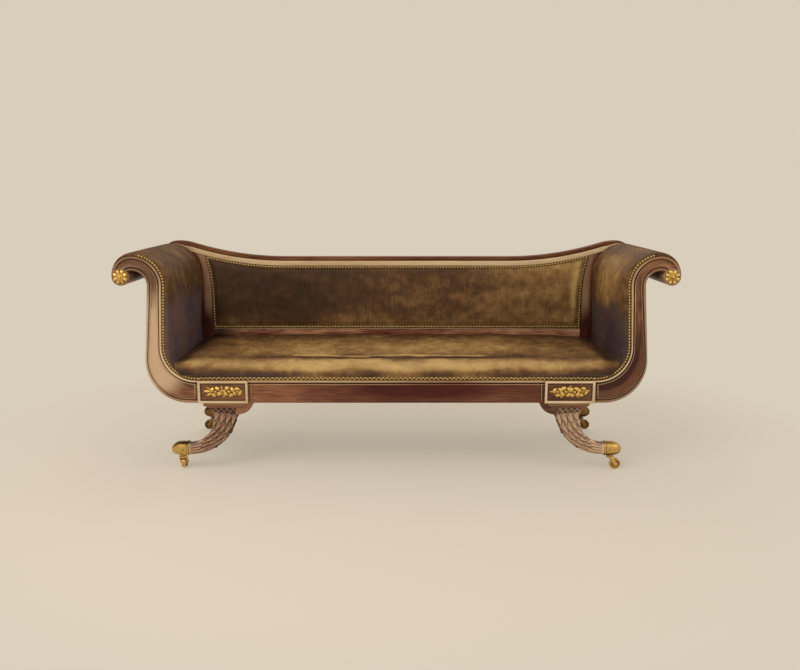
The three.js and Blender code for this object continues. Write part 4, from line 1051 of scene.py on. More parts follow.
def rosette(side_name, side):
    """Eight-petalled gilt rosette in the eye of the scroll."""
    low, high, _, half = measured("arm_rosette_right")
    back, proud = high[1], high[1] - low[1]
    radius, button = half[0] * 1.08, 0.0055
    form = Form()
    flower(form, EYE, radius, 8, back, proud * 0.72, cleft=0.22, side=side)
    flower(form, EYE, radius * 0.5, 8, back - proud * 0.35, proud * 0.5, math.pi / 8, 0.3, side)
    turn = np.linspace(0, QUARTER, 7)[:-1]
    dome = [(button * math.cos(a), back - proud * (0.7 + 0.3 * math.sin(a))) for a in turn]
    form.turned([(button, back - proud * 0.3), *dome, (0.0004, back - proud)], 24, at_eye(side), deep=0.0)
    return form.stand_in("arm_rosette_" + side_name, "_cast", gilt, "gilt", angle=60)


# Legs, toe caps and casters

LEG_Y = {"front": FRONT_FACE + 0.030, "rear": REAR_FACE - 0.030}
LEG_TOP = RAIL_BOTTOM - 0.022
TOE_X = RAIL_END + 0.051
SWIVEL_X = RAIL_END + 0.079
# Circles of a leg's two edges as X, Z and radius
LEG_OUTER = (RAIL_END + 0.052, 0.212, 0.102)
LEG_INNER = (RAIL_END + 0.041, 0.252, 0.190)
LEG_HALF_TOP, LEG_HALF_TOE = 0.031, 0.023

LEAF_PITCH = 0.042
LEAF_COLUMNS = 4
LEAF_SPAN = 1.7
LEAF_LEAN = 0.16
LEG_RINGS, LEG_SIDES = 190, 168
CARVED_DEPTH = 0.0048
TOE_SIDES = 72


def leg_edges(shares):
    """Outer and inner edge of a leg in side view, from its top to its toe."""
    edges = []
    for x, z, r in (LEG_OUTER, LEG_INNER):
        start = math.pi - math.asin((LEG_TOP - FIT - z) / r)
        end = 2 * math.pi - math.acos((TOE_X - x) / r)
        angles = start + (end - start) * shares
        edges.append(np.stack([x + r * np.cos(angles), z + r * np.sin(angles)], 1))
    return edges


def leaf(row, past, across):
    """Height of a row's leaves, and distance in from their edges; past runs down them from 0 to LEAF_SPAN."""
    cell = (across - LEAF_LEAN * past) * LEAF_COLUMNS / 2 + 0.5 * (row % 2)
    aside = np.abs(cell - np.round(cell))
    half = 0.5 * (1 - np.clip((past - 0.75) / (LEAF_SPAN - 0.75), 0, 1) ** 1.5)
    edge = half - aside
    body = 0.34 + 0.32 * past / LEAF_SPAN
    rim = 0.34 * np.exp(-((edge - 0.12) / 0.06) ** 2)
    rib = 0.30 * np.exp(-(aside / 0.06) ** 2)
    veins = 0.10 * np.cos(2 * math.pi * (2.6 * past + 2.4 * aside)) * (aside > 0.08)
    return (body + rim + rib + veins) * smooth(edge, 0.0, 0.11), edge


def leaf_relief(run, length, across):
    """Height of the leaf carving from 0 in its hollows to 1, by distance down the leg and place across it."""
    w = np.abs(across)
    way = (run + 0.16 * run * run / length + 0.010 * w) / LEAF_PITCH
    row = np.floor(way)
    past = way - row
    own, _ = leaf(row, past, across)
    above, edge = leaf(row - 1, past + 1, across)
    covered = (past + 1 < LEAF_SPAN) & (edge > 0)
    relief = np.where(covered, above, own * (0.7 + 0.3 * np.minimum(1, past * 2)))
    tongue = 1 - np.abs(across * 2.5 - np.round(across * 2.5)) * 2
    reach = 0.002 + 0.015 * tongue
    fringe = smooth(reach - run, -0.0012, 0.0012)
    rimmed = 0.15 + 0.85 * smooth(0.0042 - np.abs(reach - run), 0, 0.0026)
    relief = np.where(run < 0.020, relief * (1 - fringe) * 0.30 + fringe * rimmed, relief)
    flutes = 0.25 + 0.55 * np.abs(np.cos(across * 2.2 * math.pi)) ** 0.8
    sheath = smooth(run + 0.030 * w, length - 0.050, length - 0.044)
    relief = relief * (1 - sheath) + flutes * sheath
    band = smooth(run, length - 0.011, length - 0.009)
    return relief * (1 - band) + 1.0 * band


def sabre_leg(end, side_name, side):
    """A leg in a sabre curve, carved with leaves and flared at its top; its leaves carry painted highlight
    with painted shade in their hollows, down its inner side and on its outer edge near the toe, and the left
    legs less highlight.
    """
    shares = np.linspace(0, 1, LEG_RINGS)
    outer, inner = leg_edges(shares)
    middle = (outer + inner) / 2
    run = length_along(middle)
    flare = (1 - smooth(run, 0.0, 0.050))[:, None]
    spread = unit(outer - middle)
    outer, inner = outer + 0.003 * flare * spread, inner - 0.009 * flare * spread
    middle = (outer + inner) / 2
    round_y, round_x = rounded(3.2, LEG_SIDES)
    across = np.clip(round_x, -1, 1)
    rings, pale, deep, uv = [], [], [], []
    for i, share in enumerate(shares):
        half = np.linalg.norm(outer[i] - middle[i])
        reach = (outer[i] - middle[i]) / half
        half_y = LEG_HALF_TOP + (LEG_HALF_TOE - LEG_HALF_TOP) * share
        relief = leaf_relief(run[i], run[-1], across)
        sink = CARVED_DEPTH * (1 - relief)
        y = LEG_Y[end] + round_y * (half_y - sink)
        xz = middle[i] + np.outer(round_x * (half - sink), reach)
        rings.append(np.stack([xz[:, 0], y, xz[:, 1]], 1))
        # Painted shade down the inner side, and on the outer edge near the toe
        near_toe = 0.75 * float(window(run[-1] - run[i], 0.014, 0.034, 0.022))
        shade = np.maximum(smooth(-across, 0.84, 0.97), smooth(across, 0.76, 0.95) * near_toe)
        pale.append(smooth(relief, 0.46, 0.84) * (0.66 if side < 0 else 1.0) * (1 - shade))
        deep.append(np.maximum(1 - smooth(relief, 0.12, 0.62), shade))
        uv.append(np.stack([np.full(LEG_SIDES, run[i]), np.arange(LEG_SIDES) / LEG_SIDES * 0.2], 1))
    form = Form()
    form.tube(sided(rings, side), pale=pale, deep=deep)
    return form.stand_in(f"{end}_leg_{side_name}", "_carved", leg_wood, "mahogany", uv=uv, angle=75)


def toe_cap(end, side_name, side):
    """Brass cup over the toe, with a lipped mouth and a rivet on each cheek."""
    centre_y = LEG_Y[end]
    outer, inner = leg_edges(np.array([1.0]))
    mouth = (outer[0, 1] + inner[0, 1]) / 2
    half_z = (outer[0, 1] - inner[0, 1]) / 2 + 0.003
    half_y = LEG_HALF_TOE + 0.003
    start = TOE_X + FIT
    barrel, length, drop = 0.030, 0.070, 0.005
    # Distance from the mouth, growth and dark of each ring of the lip
    lip = [(0, 0, 0.4), (0.0005, 0.001, 0), (0.0015, 0.0015, 0), (0.0045, 0.0015, 0), (0.0055, 0.001, 0),
           (0.006, 0.0, 0.9), (0.007, -0.0002, 0.6), (0.009, 0, 0.1)]
    # Distance from the mouth, size, growth, fall and dark of each ring
    rows = [(x, 1, grow, 0, dark) for x, grow, dark in lip]
    rows += [(x, 1, 0, 0, 0.0) for x in np.linspace(0.014, barrel, 5)]
    for a in np.linspace(0, QUARTER, 18)[1:-1]:
        rows.append((barrel + (length - barrel) * math.sin(a), math.cos(a), 0, drop * (1 - math.cos(a)), 0.0))
    rows.append((length, 0.06, 0, drop, 0.0))
    # Painted shade: over the top of the left caps and under the right ones, and over the whole of each rear
    # cap
    below, above = (0.1, 0.9) if side < 0 else (1.0, 0.2)
    behind = 0.35 if end == "rear" else 0.0
    round_y, round_z = rounded(2.8, TOE_SIDES)
    rings, deep = [], []
    for x, size, grow, fall, dark in rows:
        y = centre_y + round_y * (half_y * size + grow)
        z = mouth - fall + round_z * (half_z * size + grow)
        rings.append(np.stack([np.full(TOE_SIDES, start + x), y, z], 1))
        deep.append(dark + behind + below * smooth(-round_z, 0.15, 0.9) + above * smooth(round_z, 0.15, 0.9))
    form = Form()
    form.tube(sided(rings, side), deep=deep)
    dome = [(0.0042 * math.cos(a), 0.0016 * math.sin(a)) for a in np.linspace(0, QUARTER, 6)[:-1]]
    rivet = [(0.0042, -0.003), *dome, (0.0003, 0.0016)]
    for cheek in (-1, 1):
        form.turned(rivet, 20, lambda x, z, h: (side * (start + 0.019 + x), centre_y + cheek * (half_y + h),
                                                mouth + z), deep=0.5)
    return form.stand_in(f"{end}_toe_cap_{side_name}", "_cast", brass[end], "brass", angle=50)


WHEEL_RADIUS = 0.022
WHEEL_HALF = 0.010
WHEEL_SIDES = 48
TRAIL = 0.020
CHEEK_IN = WHEEL_HALF + 0.0006
CHEEK_THICK = 0.004
CHEEK_ROUND = 0.0075


def caster_place(side, end, turn):
    """A map from a caster's own X, Y, Z, with its wheel trailing along X, to the frame."""
    c, s = math.cos(turn), math.sin(turn)
    return lambda x, y, z: (side * SWIVEL_X + c * x - s * y, LEG_Y[end] + s * x + c * y, z)


def at_axle(put):
    """A map from a round piece's own X, Z and Y to the middle of a caster's wheel."""
    return lambda x, z, y: put(TRAIL + x, y, WHEEL_RADIUS + z)


def caster_fork(where, side, end, turn):
    """A turned stem and collar, two cheeks down to the axle, and the domed tips of the axle."""
    put = caster_place(side, end, turn)
    form = Form()
    stem = [(0.0003, 0.0465), (0.013, 0.0465), (0.0148, 0.0475), (0.015, 0.049), (0.015, 0.0525),
            (0.0145, 0.0538), (0.0125, 0.0545), (0.0085, 0.0550), (0.008, 0.0570), (0.005, 0.0572),
            (0.005, 0.082), (0.0003, 0.082)]
    form.turned(stem, 40, put)
    top = (0.003, 0.0550 - CHEEK_ROUND - FIT)
    axle = (TRAIL, WHEEL_RADIUS)
    lean = math.atan2(axle[1] - top[1], axle[0] - top[0])
    outline = []
    for (x, z), begin in ((top, lean + QUARTER), (axle, lean - QUARTER)):
        for a in np.linspace(begin, begin + math.pi, 17):
            outline.append((x + CHEEK_ROUND * math.cos(a), z + CHEEK_ROUND * math.sin(a)))
    outline = np.array(outline)
    heart = outline.mean(0)
    tips = CHEEK_IN + CHEEK_THICK + FIT
    for way in (1, -1):
        inside, outside, step = way * CHEEK_IN, way * (CHEEK_IN + CHEEK_THICK), way * 0.0008
        rows = [(inside, 0.97), (inside + step, 1.0), (outside - step, 1.0), (outside, 0.93)]
        form.tube([[put(x, y, z) for x, z in heart + (outline - heart) * size] for y, size in rows])
    turn = np.linspace(0, QUARTER, 6)[1:-1]
    dome = [(0.005 * math.cos(a), tips + 0.002 * math.sin(a)) for a in turn]
    tip = [(0.003, 0.0), (0.003, tips), (0.005, tips), *dome, (0.0003, tips + 0.002)]
    for way in (-1, 1):
        form.turned([(r, way * y) for r, y in tip], 24, at_axle(put), deep=0.1)
    names = [f"caster_fork_{where}", f"caster_axle_{where}"]
    return form.made(names[0] + "_forged", brass[end], "caster_" + where, "brass", names, angle=45)


def caster_wheel(where, side, end, turn):
    """A brass wheel with dished faces and a rounded tread."""
    put = caster_place(side, end, turn)
    half = WHEEL_HALF
    face = [(0.0035, half), (0.0070, half), (0.0078, half - 0.0008), (0.0085, 0.0060), (0.0105, 0.0055),
            (0.0150, 0.0055), (0.0164, 0.0068), (0.0172, 0.0086), (0.0180, 0.0090), (0.0197, 0.0088),
            (0.0212, 0.0078), (0.0219, 0.0062)]
    loop = [(r, -y) for r, y in face] + [(WHEEL_RADIUS, 0.0)] + [(r, y) for r, y in face[::-1]]
    dark = [0.6 if 0.0080 < r < 0.0170 else 0.0 for r, _ in loop]
    form = Form()
    form.ring(loop, WHEEL_SIDES, at_axle(put), deep=np.tile(dark, WHEEL_SIDES))
    name = f"caster_wheel_{where}"
    return form.made(name + "_turned", brass[end], "wheel_" + where, "brass", [name], angle=45)


BRACKET_REACH = 0.060
BRACKET_DROP = 0.048


def cap_block(end, side_name, side):
    """The stepped block over a leg, with a rounded bracket on its inner side."""
    _, high, middle, half = measured(f"{end}_leg_cap_block_right")
    top, fascia, cove = high[2], 0.011, 0.011
    # Inset, height and pale of each ring; pale is painted highlight on the block's steps
    rows = [(0, top, 0.8), (0, top - 0.0015, 0.9), (0.0006, top - 0.002, 0.2), (0.0002, top - 0.0032, 0.9),
            (0, top - 0.006, 0.6), (0.0006, RAIL_BOTTOM - fascia - 0.0002, 0.6)]
    for t in np.linspace(0, 1, 10)[1:]:
        inset = 0.009 * math.sin(QUARTER * t) + 0.013 * t ** 3
        rows.append((inset, RAIL_BOTTOM - fascia - cove * (1 - math.cos(QUARTER * t)), 0.15))
    rings, pale = [], []
    for inset, z, light in rows:
        reach_x, reach_y = half[0] - inset, half[1] - inset * 0.33
        rings.append([(middle[0] + a * reach_x, middle[1] + b * reach_y, z) for a, b in CORNERS])
        pale += [light * 0.6] * 4
    form = Form()
    form.tube(sided(rings, side), pale=pale)
    leg_x = float(leg_edges(np.array([0.0]))[1][0, 0])
    turn = np.linspace(0, QUARTER, 14)
    curve_z = RAIL_BOTTOM - FIT - BRACKET_DROP * np.sin(turn)
    curve = np.stack([leg_x - BRACKET_REACH * np.cos(turn), curve_z], 1)
    outline = np.vstack([curve, [leg_x + 0.006, curve[-1, 1]], [leg_x + 0.006, curve[0, 1]]])
    wide, narrow = LEG_HALF_TOP - 0.007, LEG_HALF_TOP - 0.0085
    bracket = [[(leg_x + (x - leg_x) * size, middle[1] + y, z) for x, z in outline]
               for y, size in ((-wide, 0.96), (-narrow, 1.0), (narrow, 1.0), (wide, 0.96))]
    # The left bracket is painted light and the right one dark, as painted highlight and painted shade
    form.tube(sided(bracket, side), pale=0.55 if side < 0 else 0.0, deep=0.0 if side < 0 else 0.45)
    return form.stand_in(f"{end}_leg_cap_block_{side_name}", "_moulded", plain_wood, "mahogany", angle=35)


# Upholstery


def pad_thickness(run):
    """Thickness of the arm pad along its run from the seat to the eye, as a share of its full size."""
    table = [(0, 0.08), (0.10, 0.25), (0.22, 1), (0.5, 1), (0.62, 0.8), (0.72, 0.55), (0.85, 0.44), (1, 0.14)]
    result = np.zeros_like(np.asarray(run, float))
    for (a, low), (b, high) in zip(table, table[1:]):
        inside = (run >= a) & (run <= b)
        result = np.where(inside, low + (high - low) * smooth(run, a, b), result)
    return result


def pad_line(count):
    """Points, normals and share of the run along the arm pad's foot."""
    corner, scroll, tip = inner_edge(0, PAD_START, PAD_END)
    straight = resampled(np.stack([corner[-1], scroll[0]]), np.linspace(0, 1, 20))
    line = np.vstack([corner, straight[1:], scroll[1:], tip[1:]])
    fine = resampled(line, np.linspace(0, 1, 4 * count))
    for _ in range(6):
        ease_rows(fine)
    points = resampled(fine, np.linspace(0, 1, count))
    return points, beside(points), np.linspace(0, 1, count)


PAD_RUN = float(length_along(np.vstack(inner_edge(0, PAD_START, PAD_END)))[-1])


def spaced(points, gap):
    """Numbers of the points of a line that lie about a gap apart, with both of its ends."""
    run = length_along(points)
    wanted = np.linspace(0, run[-1], max(4, round(run[-1] / gap)))
    return np.unique([int(np.argmin(np.abs(run - w))) for w in wanted])


def points_of(mesh):
    """Places and normals of a mesh's points."""
    places, normals = np.zeros(len(mesh.vertices) * 3), np.zeros(len(mesh.vertices) * 3)
    mesh.vertices.foreach_get("co", places)
    mesh.vertex_normals.foreach_get("vector", normals)
    return places.reshape(-1, 3), normals.reshape(-1, 3)


def move_points(mesh, places):
    """Puts a mesh's points at new places."""
    mesh.vertices.foreach_set("co", places.ravel())
    mesh.update()


def cloth_sheet(points, faces, held, pressure):
    """A sheet of cloth under pressure from behind, with its points held by these weights."""
    mesh = bpy.data.meshes.new("sheet")
    mesh.from_pydata(points.reshape(-1, 3).tolist(), [], faces)
    sheet = linked("sheet", mesh)
    group = sheet.vertex_groups.new(name="tacked")
    for weight in np.unique(held):
        group.add(np.flatnonzero(held == weight).tolist(), float(weight), "REPLACE")
    cloth = sheet.modifiers.new("stuffing", "CLOTH")
    settings = cloth.settings
    settings.quality = 5
    settings.mass = 0.3
    settings.tension_stiffness = settings.compression_stiffness = 15
    settings.shear_stiffness = 5
    settings.bending_stiffness = 0.5
    settings.vertex_group_mass = group.name
    settings.use_pressure = True
    settings.uniform_pressure_force = pressure
    settings.effector_weights.gravity = 0
    cloth.point_cache.frame_start, cloth.point_cache.frame_end = 1, STUFFING_FRAMES
    return sheet


def swollen_points(sheet):
    """Places of a sheet's points at the end of its cloth run, after which the sheet is removed."""
    places = np.zeros(len(sheet.data.vertices) * 3)
    for number in range(1, STUFFING_FRAMES + 1):
        scene.frame_set(number)
    sheet.evaluated_get(bpy.context.evaluated_depsgraph_get()).data.vertices.foreach_get("co", places)
    scene.frame_set(1)
    bpy.data.objects.remove(sheet)
    return places


def spread_over(moves, rows, columns, shape):
    """Moves of an even sheet's points, spread over all the points of a pad's grid."""
    down, across = np.arange(shape[0]), np.arange(shape[1])
    wide = [[np.interp(across, columns, line) for line in moves[:, :, k]] for k in range(3)]
    full = [[np.interp(down, rows, line) for line in np.transpose(part)] for part in wide]
    return np.stack(full, 2).swapaxes(0, 1)


def stuffed(piece, shape, loose, cap, pressure=4.0):
    """Swells a pad by a short cloth run over an even sheet, with no point moved by more than cap."""
    loose = loose.reshape(shape)
    count = shape[0] * shape[1]
    places, normals = points_of(piece.data)
    grid, outward = places[:count].reshape(*shape, 3), normals[:count].reshape(*shape, 3)
    rows, columns = spaced(grid[:, shape[1] // 2], SHEET_GAP), spaced(grid[shape[0] // 2], SHEET_GAP)
    points = grid[np.ix_(rows, columns)]
    faces = grid_faces(len(rows), len(columns))
    i, j = len(rows) // 2, len(columns) // 2
    facing = np.cross(points[i, j + 1] - points[i, j], points[i + 1, j] - points[i, j])
    if np.dot(facing, outward[rows[i], columns[j]]) < 0:
        faces = [face[::-1] for face in faces]
    held = np.round(1 - loose[np.ix_(rows, columns)].ravel(), 2)
    sheet = cloth_sheet(points, faces, held, pressure)
    moves = swollen_points(sheet).reshape(points.shape) - points
    moves *= np.minimum(1, cap / np.maximum(np.linalg.norm(moves, axis=2), 1e-9))[:, :, None]
    full = spread_over(moves, rows, columns, shape)
    for _ in range(3):
        ease_rows(full)
        ease_rows(full.swapaxes(0, 1))
    places[:count] += (full * smooth(loose, 0.0, 0.08)[:, :, None]).reshape(-1, 3)
    move_points(piece.data, places)


def shifted(piece, amount):
    """Moves each point of a pad along its normal."""
    places, normals = points_of(piece.data)
    move_points(piece.data, places + normals * np.asarray(amount)[:, None])


def sheet_faces(rows, columns):
    """Faces over a grid of points, and the numbers of the points round its rim."""
    last = (rows - 1) * columns
    rim = [i * columns for i in range(rows - 1)] + [last + j for j in range(columns - 1)]
    rim += [last - i * columns + columns - 1 for i in range(rows - 1)]
    rim += [columns - 1 - j for j in range(columns - 1)]
    return grid_faces(rows, columns), rim


def walls(rim, count):
    """Faces from a grid's rim to a loop of as many points, numbered from count, and one over that loop."""
    loop = len(rim)
    sides = [[rim[k], rim[(k + 1) % loop], count + (k + 1) % loop, count + k] for k in range(loop)]
    return sides + [[count + k for k in range(loop)][::-1]]


def slab(front, rear_y):
    """Points and faces of a grid closed by walls and a flat rear, and the points of that rear."""
    faces, rim = sheet_faces(*front.shape[:2])
    points = front.reshape(-1, 3)
    rear = points[rim] * [1, 0, 1] + [0, rear_y, 0]
    return np.vstack([points, rear]), faces + walls(rim, len(points)), rear


def ripples(x, seed, *waves):
    """A smooth irregular line from a few sine waves of given lengths, within about 1 either way."""
    random = np.random.default_rng(seed)
    return sum(np.sin(2 * math.pi * x / w + random.uniform(0, 6.28)) for w in waves) / len(waves)


def puckers(path, seed, *waves):
    """Uneven puckers of the cover along a nailed edge, from about 0 to 1."""
    return (0.5 + 0.5 * np.cos(math.pi * path / NAIL_PITCH)) * (0.6 + 0.4 * ripples(path, seed, *waves))


def seat_end(rise):
    """Where the seat's end lies against the arm pad, by its rise."""
    angle = -QUARTER + (SEAT_END + QUARTER) * (0.09 + 0.91 * np.clip(rise, 0, 1))
    run = np.maximum(0, INNER_CORNER[2] * (angle - PAD_START) / PAD_RUN)
    depth = ARM_PAD_THICKNESS * ARM_PAD_CROWN * pad_thickness(run) + 0.0016
    radius = INNER_CORNER[2] - CURVE_GAP - depth
    return INNER_CORNER[0] + radius * np.cos(angle), INNER_CORNER[1] + radius * np.sin(angle)


def seat_profile():
    """Front-to-back line of the seat: tacked border, tuck, rolled edge and crowned top, as Y and rise."""
    border = [(PAD_FRONT, rise) for rise in (0.0, 0.07, 0.14, 0.19)] + [(PAD_FRONT + 0.0012, 0.215)]
    tuck = [(PAD_FRONT + 0.0022, 0.235), (PAD_FRONT + 0.0008, 0.26)]
    roll = [(-0.2945, 0.30), (-0.2970, 0.36), (-0.2978, 0.43), (-0.2970, 0.50), (-0.2940, 0.58),
            (-0.2890, 0.66), (-0.2820, 0.74), (-0.2730, 0.81), (-0.2620, 0.87), (-0.2480, 0.92),
            (-0.2320, 0.955)]
    top_y = np.linspace(-0.215, PAD_REAR - 0.016, 80)
    top = [(y, 0.97 + 0.58 * float(smooth(y, -0.26, 0.22))) for y in top_y]
    last = top[-1][1]
    rear = [(PAD_REAR - 0.008, last - 0.03), (PAD_REAR - 0.002, last - 0.10), (PAD_REAR, last - 0.22),
            (PAD_REAR, 0.7), (PAD_REAR, 0.3), (PAD_REAR, 0.0)]
    return np.array(border + tuck + roll + top + rear)


# Painted light on the seat from its front to its rear, in the middle and at the sides: higher is a more
# golden painted highlight
SEAT_DEPTHS = [-0.30, -0.285, -0.26, -0.22, -0.19, -0.172, -0.15, -0.11, -0.02, 0.08, 0.16, 0.25]
SEAT_MIDDLE = [0.60, 0.75, 0.83, 0.73, 0.53, 0.34, 0.50, 0.61, 0.64, 0.54, 0.38, 0.29]
SEAT_SIDES = [0.47, 0.61, 0.69, 0.57, 0.49, 0.48, 0.51, 0.53, 0.50, 0.45, 0.36, 0.28]

# The raised fold across the seat, and the tuck in front of it
FOLD_Y, TUCK_Y = -0.150, -0.172
BORDER_RISE = 0.19


def seat_folds(x, y, rise):
    """Height of the seat's fold and depth of its tuck from 0 to 1, and how much their line wanders."""
    wave = 0.012 * ripples(x, 3, 0.55, 0.31)
    fold = np.exp(-((y - (FOLD_Y + wave)) / 0.007) ** 2) * window(x, -0.34, 0.30, 0.14) * (rise > 0.5)
    tuck = np.exp(-((y - (TUCK_Y + wave)) / 0.011) ** 2) * window(x, -0.30, 0.32, 0.14) * (rise > 0.5)
    return fold, tuck, wave


def seat_middle(x):
    """1 in the middle of the seat and 0 at its sides."""
    return 1 - smooth(np.abs(x), 0.36, 0.74)


def seat_paint(x, y, rise, by_arm, folds):
    """How much painted highlight and painted shade the seat has at each point: a highlight on its roll and
    fold, shade in its tuck, above its nails, by the arms and towards its rear.
    """
    fold, tuck, wave = folds
    middle = seat_middle(x)
    inner, outer = (np.interp(y + 1.5 * wave, SEAT_DEPTHS, glows) for glows in (SEAT_MIDDLE, SEAT_SIDES))
    glow = outer + (inner - outer) * middle + 0.42 * fold - 0.16 * tuck
    over_nails = (1 - smooth(rise, 0.40, 0.86)) * (rise > BORDER_RISE)
    glow -= (0.24 - 0.02 * middle) * over_nails + 0.1 * (rise <= BORDER_RISE)
    glow -= 0.22 * by_arm
    dusk = 0.35 * smooth(y, 0.10, 0.24) * smooth(np.abs(x + 0.1), 0.2, 0.6) + 0.25 * by_arm
    dusk += 0.9 * window(rise, 0.20, 0.36, 0.06) * smooth(np.abs(x - 0.05), 0.30, 0.62)
    return glow, np.clip(dusk, 0, 1)


def seat_cushion():
    """The stuffed seat: tacked along its front border and rolled over the rail."""
    line = seat_profile()
    shares = both_ways(1 - (1 - np.linspace(0, 1, 200)) ** 1.25)
    bottom = SEAT_TOP + FIT
    end_x, end_z = seat_end(line[:, 1] * 1.12)
    end_z = np.maximum(end_z, bottom)[:, None]
    x = end_x[:, None] * shares
    along = length_along(line * [1, SEAT_HEIGHT])
    y, rise, path = (np.broadcast_to(row[:, None], x.shape) for row in (*line.T, along))
    fall = np.clip(1 - np.abs(shares) ** 4.5, 0, 1) ** 0.6
    z = np.maximum(end_z + (bottom + SEAT_HEIGHT * rise - end_z) * fall, bottom + 0.0006)
    grid = np.stack([x, y, z], 2)
    faces, rim = sheet_faces(*x.shape)
    foot = grid.copy()
    foot[..., 0] = np.clip(x, -end_x[0], end_x[0])
    foot[..., 1] = np.linspace(PAD_FRONT, PAD_REAR, len(line))[:, None]
    foot[..., 2] = bottom
    foot = foot.reshape(-1, 3)[rim]
    folds = seat_folds(x, y, rise)
    glow, dusk = seat_paint(x, y, rise, smooth(np.abs(shares), 0.91, 0.99), folds)
    plain = np.zeros(len(rim))
    form = Form()
    form.add(np.vstack([grid.reshape(-1, 3), foot]), faces + walls(rim, x.size),
             glow=np.append(glow, plain + 0.2), dusk=np.append(dusk, plain))
    uv = [np.stack([x.ravel(), path.ravel()], 1), foot[:, :2]]
    piece = form.made("seat_cushion", seat_hide, slot="leather", replaces=["seat_pad"], uv=uv, angle=70)
    loose = smooth(rise, 0.24, 0.5) * smooth(PAD_REAR - y, 0.004, 0.06)
    stuffed(piece, x.shape, loose * smooth(1 - np.abs(shares), 0.0, 0.06), 0.009)
    amount = -0.0009 * puckers(x, 5, 0.13, 0.047) * window(rise, 0.22, 0.40, 0.08)
    amount += 0.0012 * ripples(x, 7, 0.29, 0.11) * smooth(rise, 0.5, 0.9) * seat_middle(x)
    amount += 0.0022 * folds[0] - 0.0034 * folds[1]
    shifted(piece, np.append(amount, plain))
    return piece


def arm_paint(side, y, z):
    """Painted light and shade of an arm's cushion: a golden painted highlight over its scroll, and painted
    shade below.
    """
    wave = 0.03 * ripples(y, 11, 0.5, 0.21)
    top = smooth(z + wave, 0.62, 0.76)
    if side > 0:
        streak = window(y, -0.16, 0.06, 0.10) * window(z, 0.60, 0.80, 0.06)
        glow = 0.37 + 0.06 * top + 0.18 * streak
        dusk = (1 - smooth(z + wave, 0.59, 0.69)) * smooth(z, 0.40, 0.46)
    else:
        glow = 0.31 + 0.10 * top
        dusk = 0.30 + 0.62 * (1 - smooth(z + wave, 0.60, 0.78)) * smooth(z, 0.38, 0.42) - 0.30 * top
    return glow, np.clip(dusk, 0, 1)


def arm_cushion(side_name, side):
    """The stuffed inside of an arm, from the seat up over the scroll."""
    points, normal, run = pad_line(260)
    inner = np.linspace(0.11, 0.93, 60)
    across = np.array([0, 0, 0, 0, 0.001, 0.004, 0.010, 0.020, 0.035, 0.055, 0.08, *inner,
                       0.95, 0.967, 0.98, 0.99, 0.996, 1, 1, 1])
    lift = np.array([0, 0.14, 0.28, 0.40, 0.47, 0.66, 0.82, 0.92, 0.97, 1.0, 1.015,
                     *(1.0 + 0.07 * np.sin(np.pi * inner)), 1.0, 0.97, 0.92, 0.84, 0.72, 0.55, 0.25, 0])
    thickness = ARM_PAD_THICKNESS * pad_thickness(run)
    out = CURVE_GAP + thickness[:, None] * lift
    xz = points[:, None, :] + normal[:, None, :] * out[:, :, None]
    y = np.broadcast_to(PAD_FRONT + (PAD_REAR - PAD_FRONT) * across, out.shape)
    rings = np.stack([xz[..., 0], y, xz[..., 1]], 2)
    glow, dusk = arm_paint(side, y, xz[..., 1])
    form = Form()
    form.tube(sided(rings, side), glow=glow, dusk=dusk)
    along = np.broadcast_to((run * PAD_RUN)[:, None], out.shape)
    uv = [np.stack([along.ravel(), y.ravel()], 1)]
    piece = form.made("arm_cushion_" + side_name, arm_hide[side_name], slot="leather",
                      replaces=["arm_pad_" + side_name], uv=uv, angle=180)
    loose_across = smooth(across, 0.02, 0.16) * smooth(1 - across, 0.01, 0.12)
    loose_along = smooth(run, 0.06, 0.2) * smooth(1 - run, 0.04, 0.2)
    stuffed(piece, out.shape, loose_across * loose_along[:, None], 0.006)
    amount = -0.0007 * puckers(along, 13, 0.12, 0.05) * window(across, 0.002, 0.03, 0.01)
    hollow = 0.0016 * ripples(along, 17, 0.34, 0.19) * smooth(across, 0.1, 0.3)
    shifted(piece, (amount + hollow * smooth(1 - across, 0.05, 0.3)).ravel())
    return piece


def panel_grid():
    """Places over the back panel: X, Z and their shares along and up it."""
    bottom = PANEL_BOTTOM + FIT
    alongs = both_ways(1 - (1 - np.linspace(0, 1, 200)) ** 1.2)
    ups = (1 - np.cos(np.linspace(0, np.pi, 84))) / 2 * 0.25 + np.linspace(0, 1, 84) * 0.75
    along, up = np.meshgrid(alongs, ups, indexing="ij")
    z = bottom + (PANEL_BOTTOM + 0.32 - bottom) * up
    for _ in range(12):
        x = along * (panel_edge(z) - 0.0006)
        z = bottom + (crest_bottom(x) - FIT - bottom) * up
    return x, z, along, up


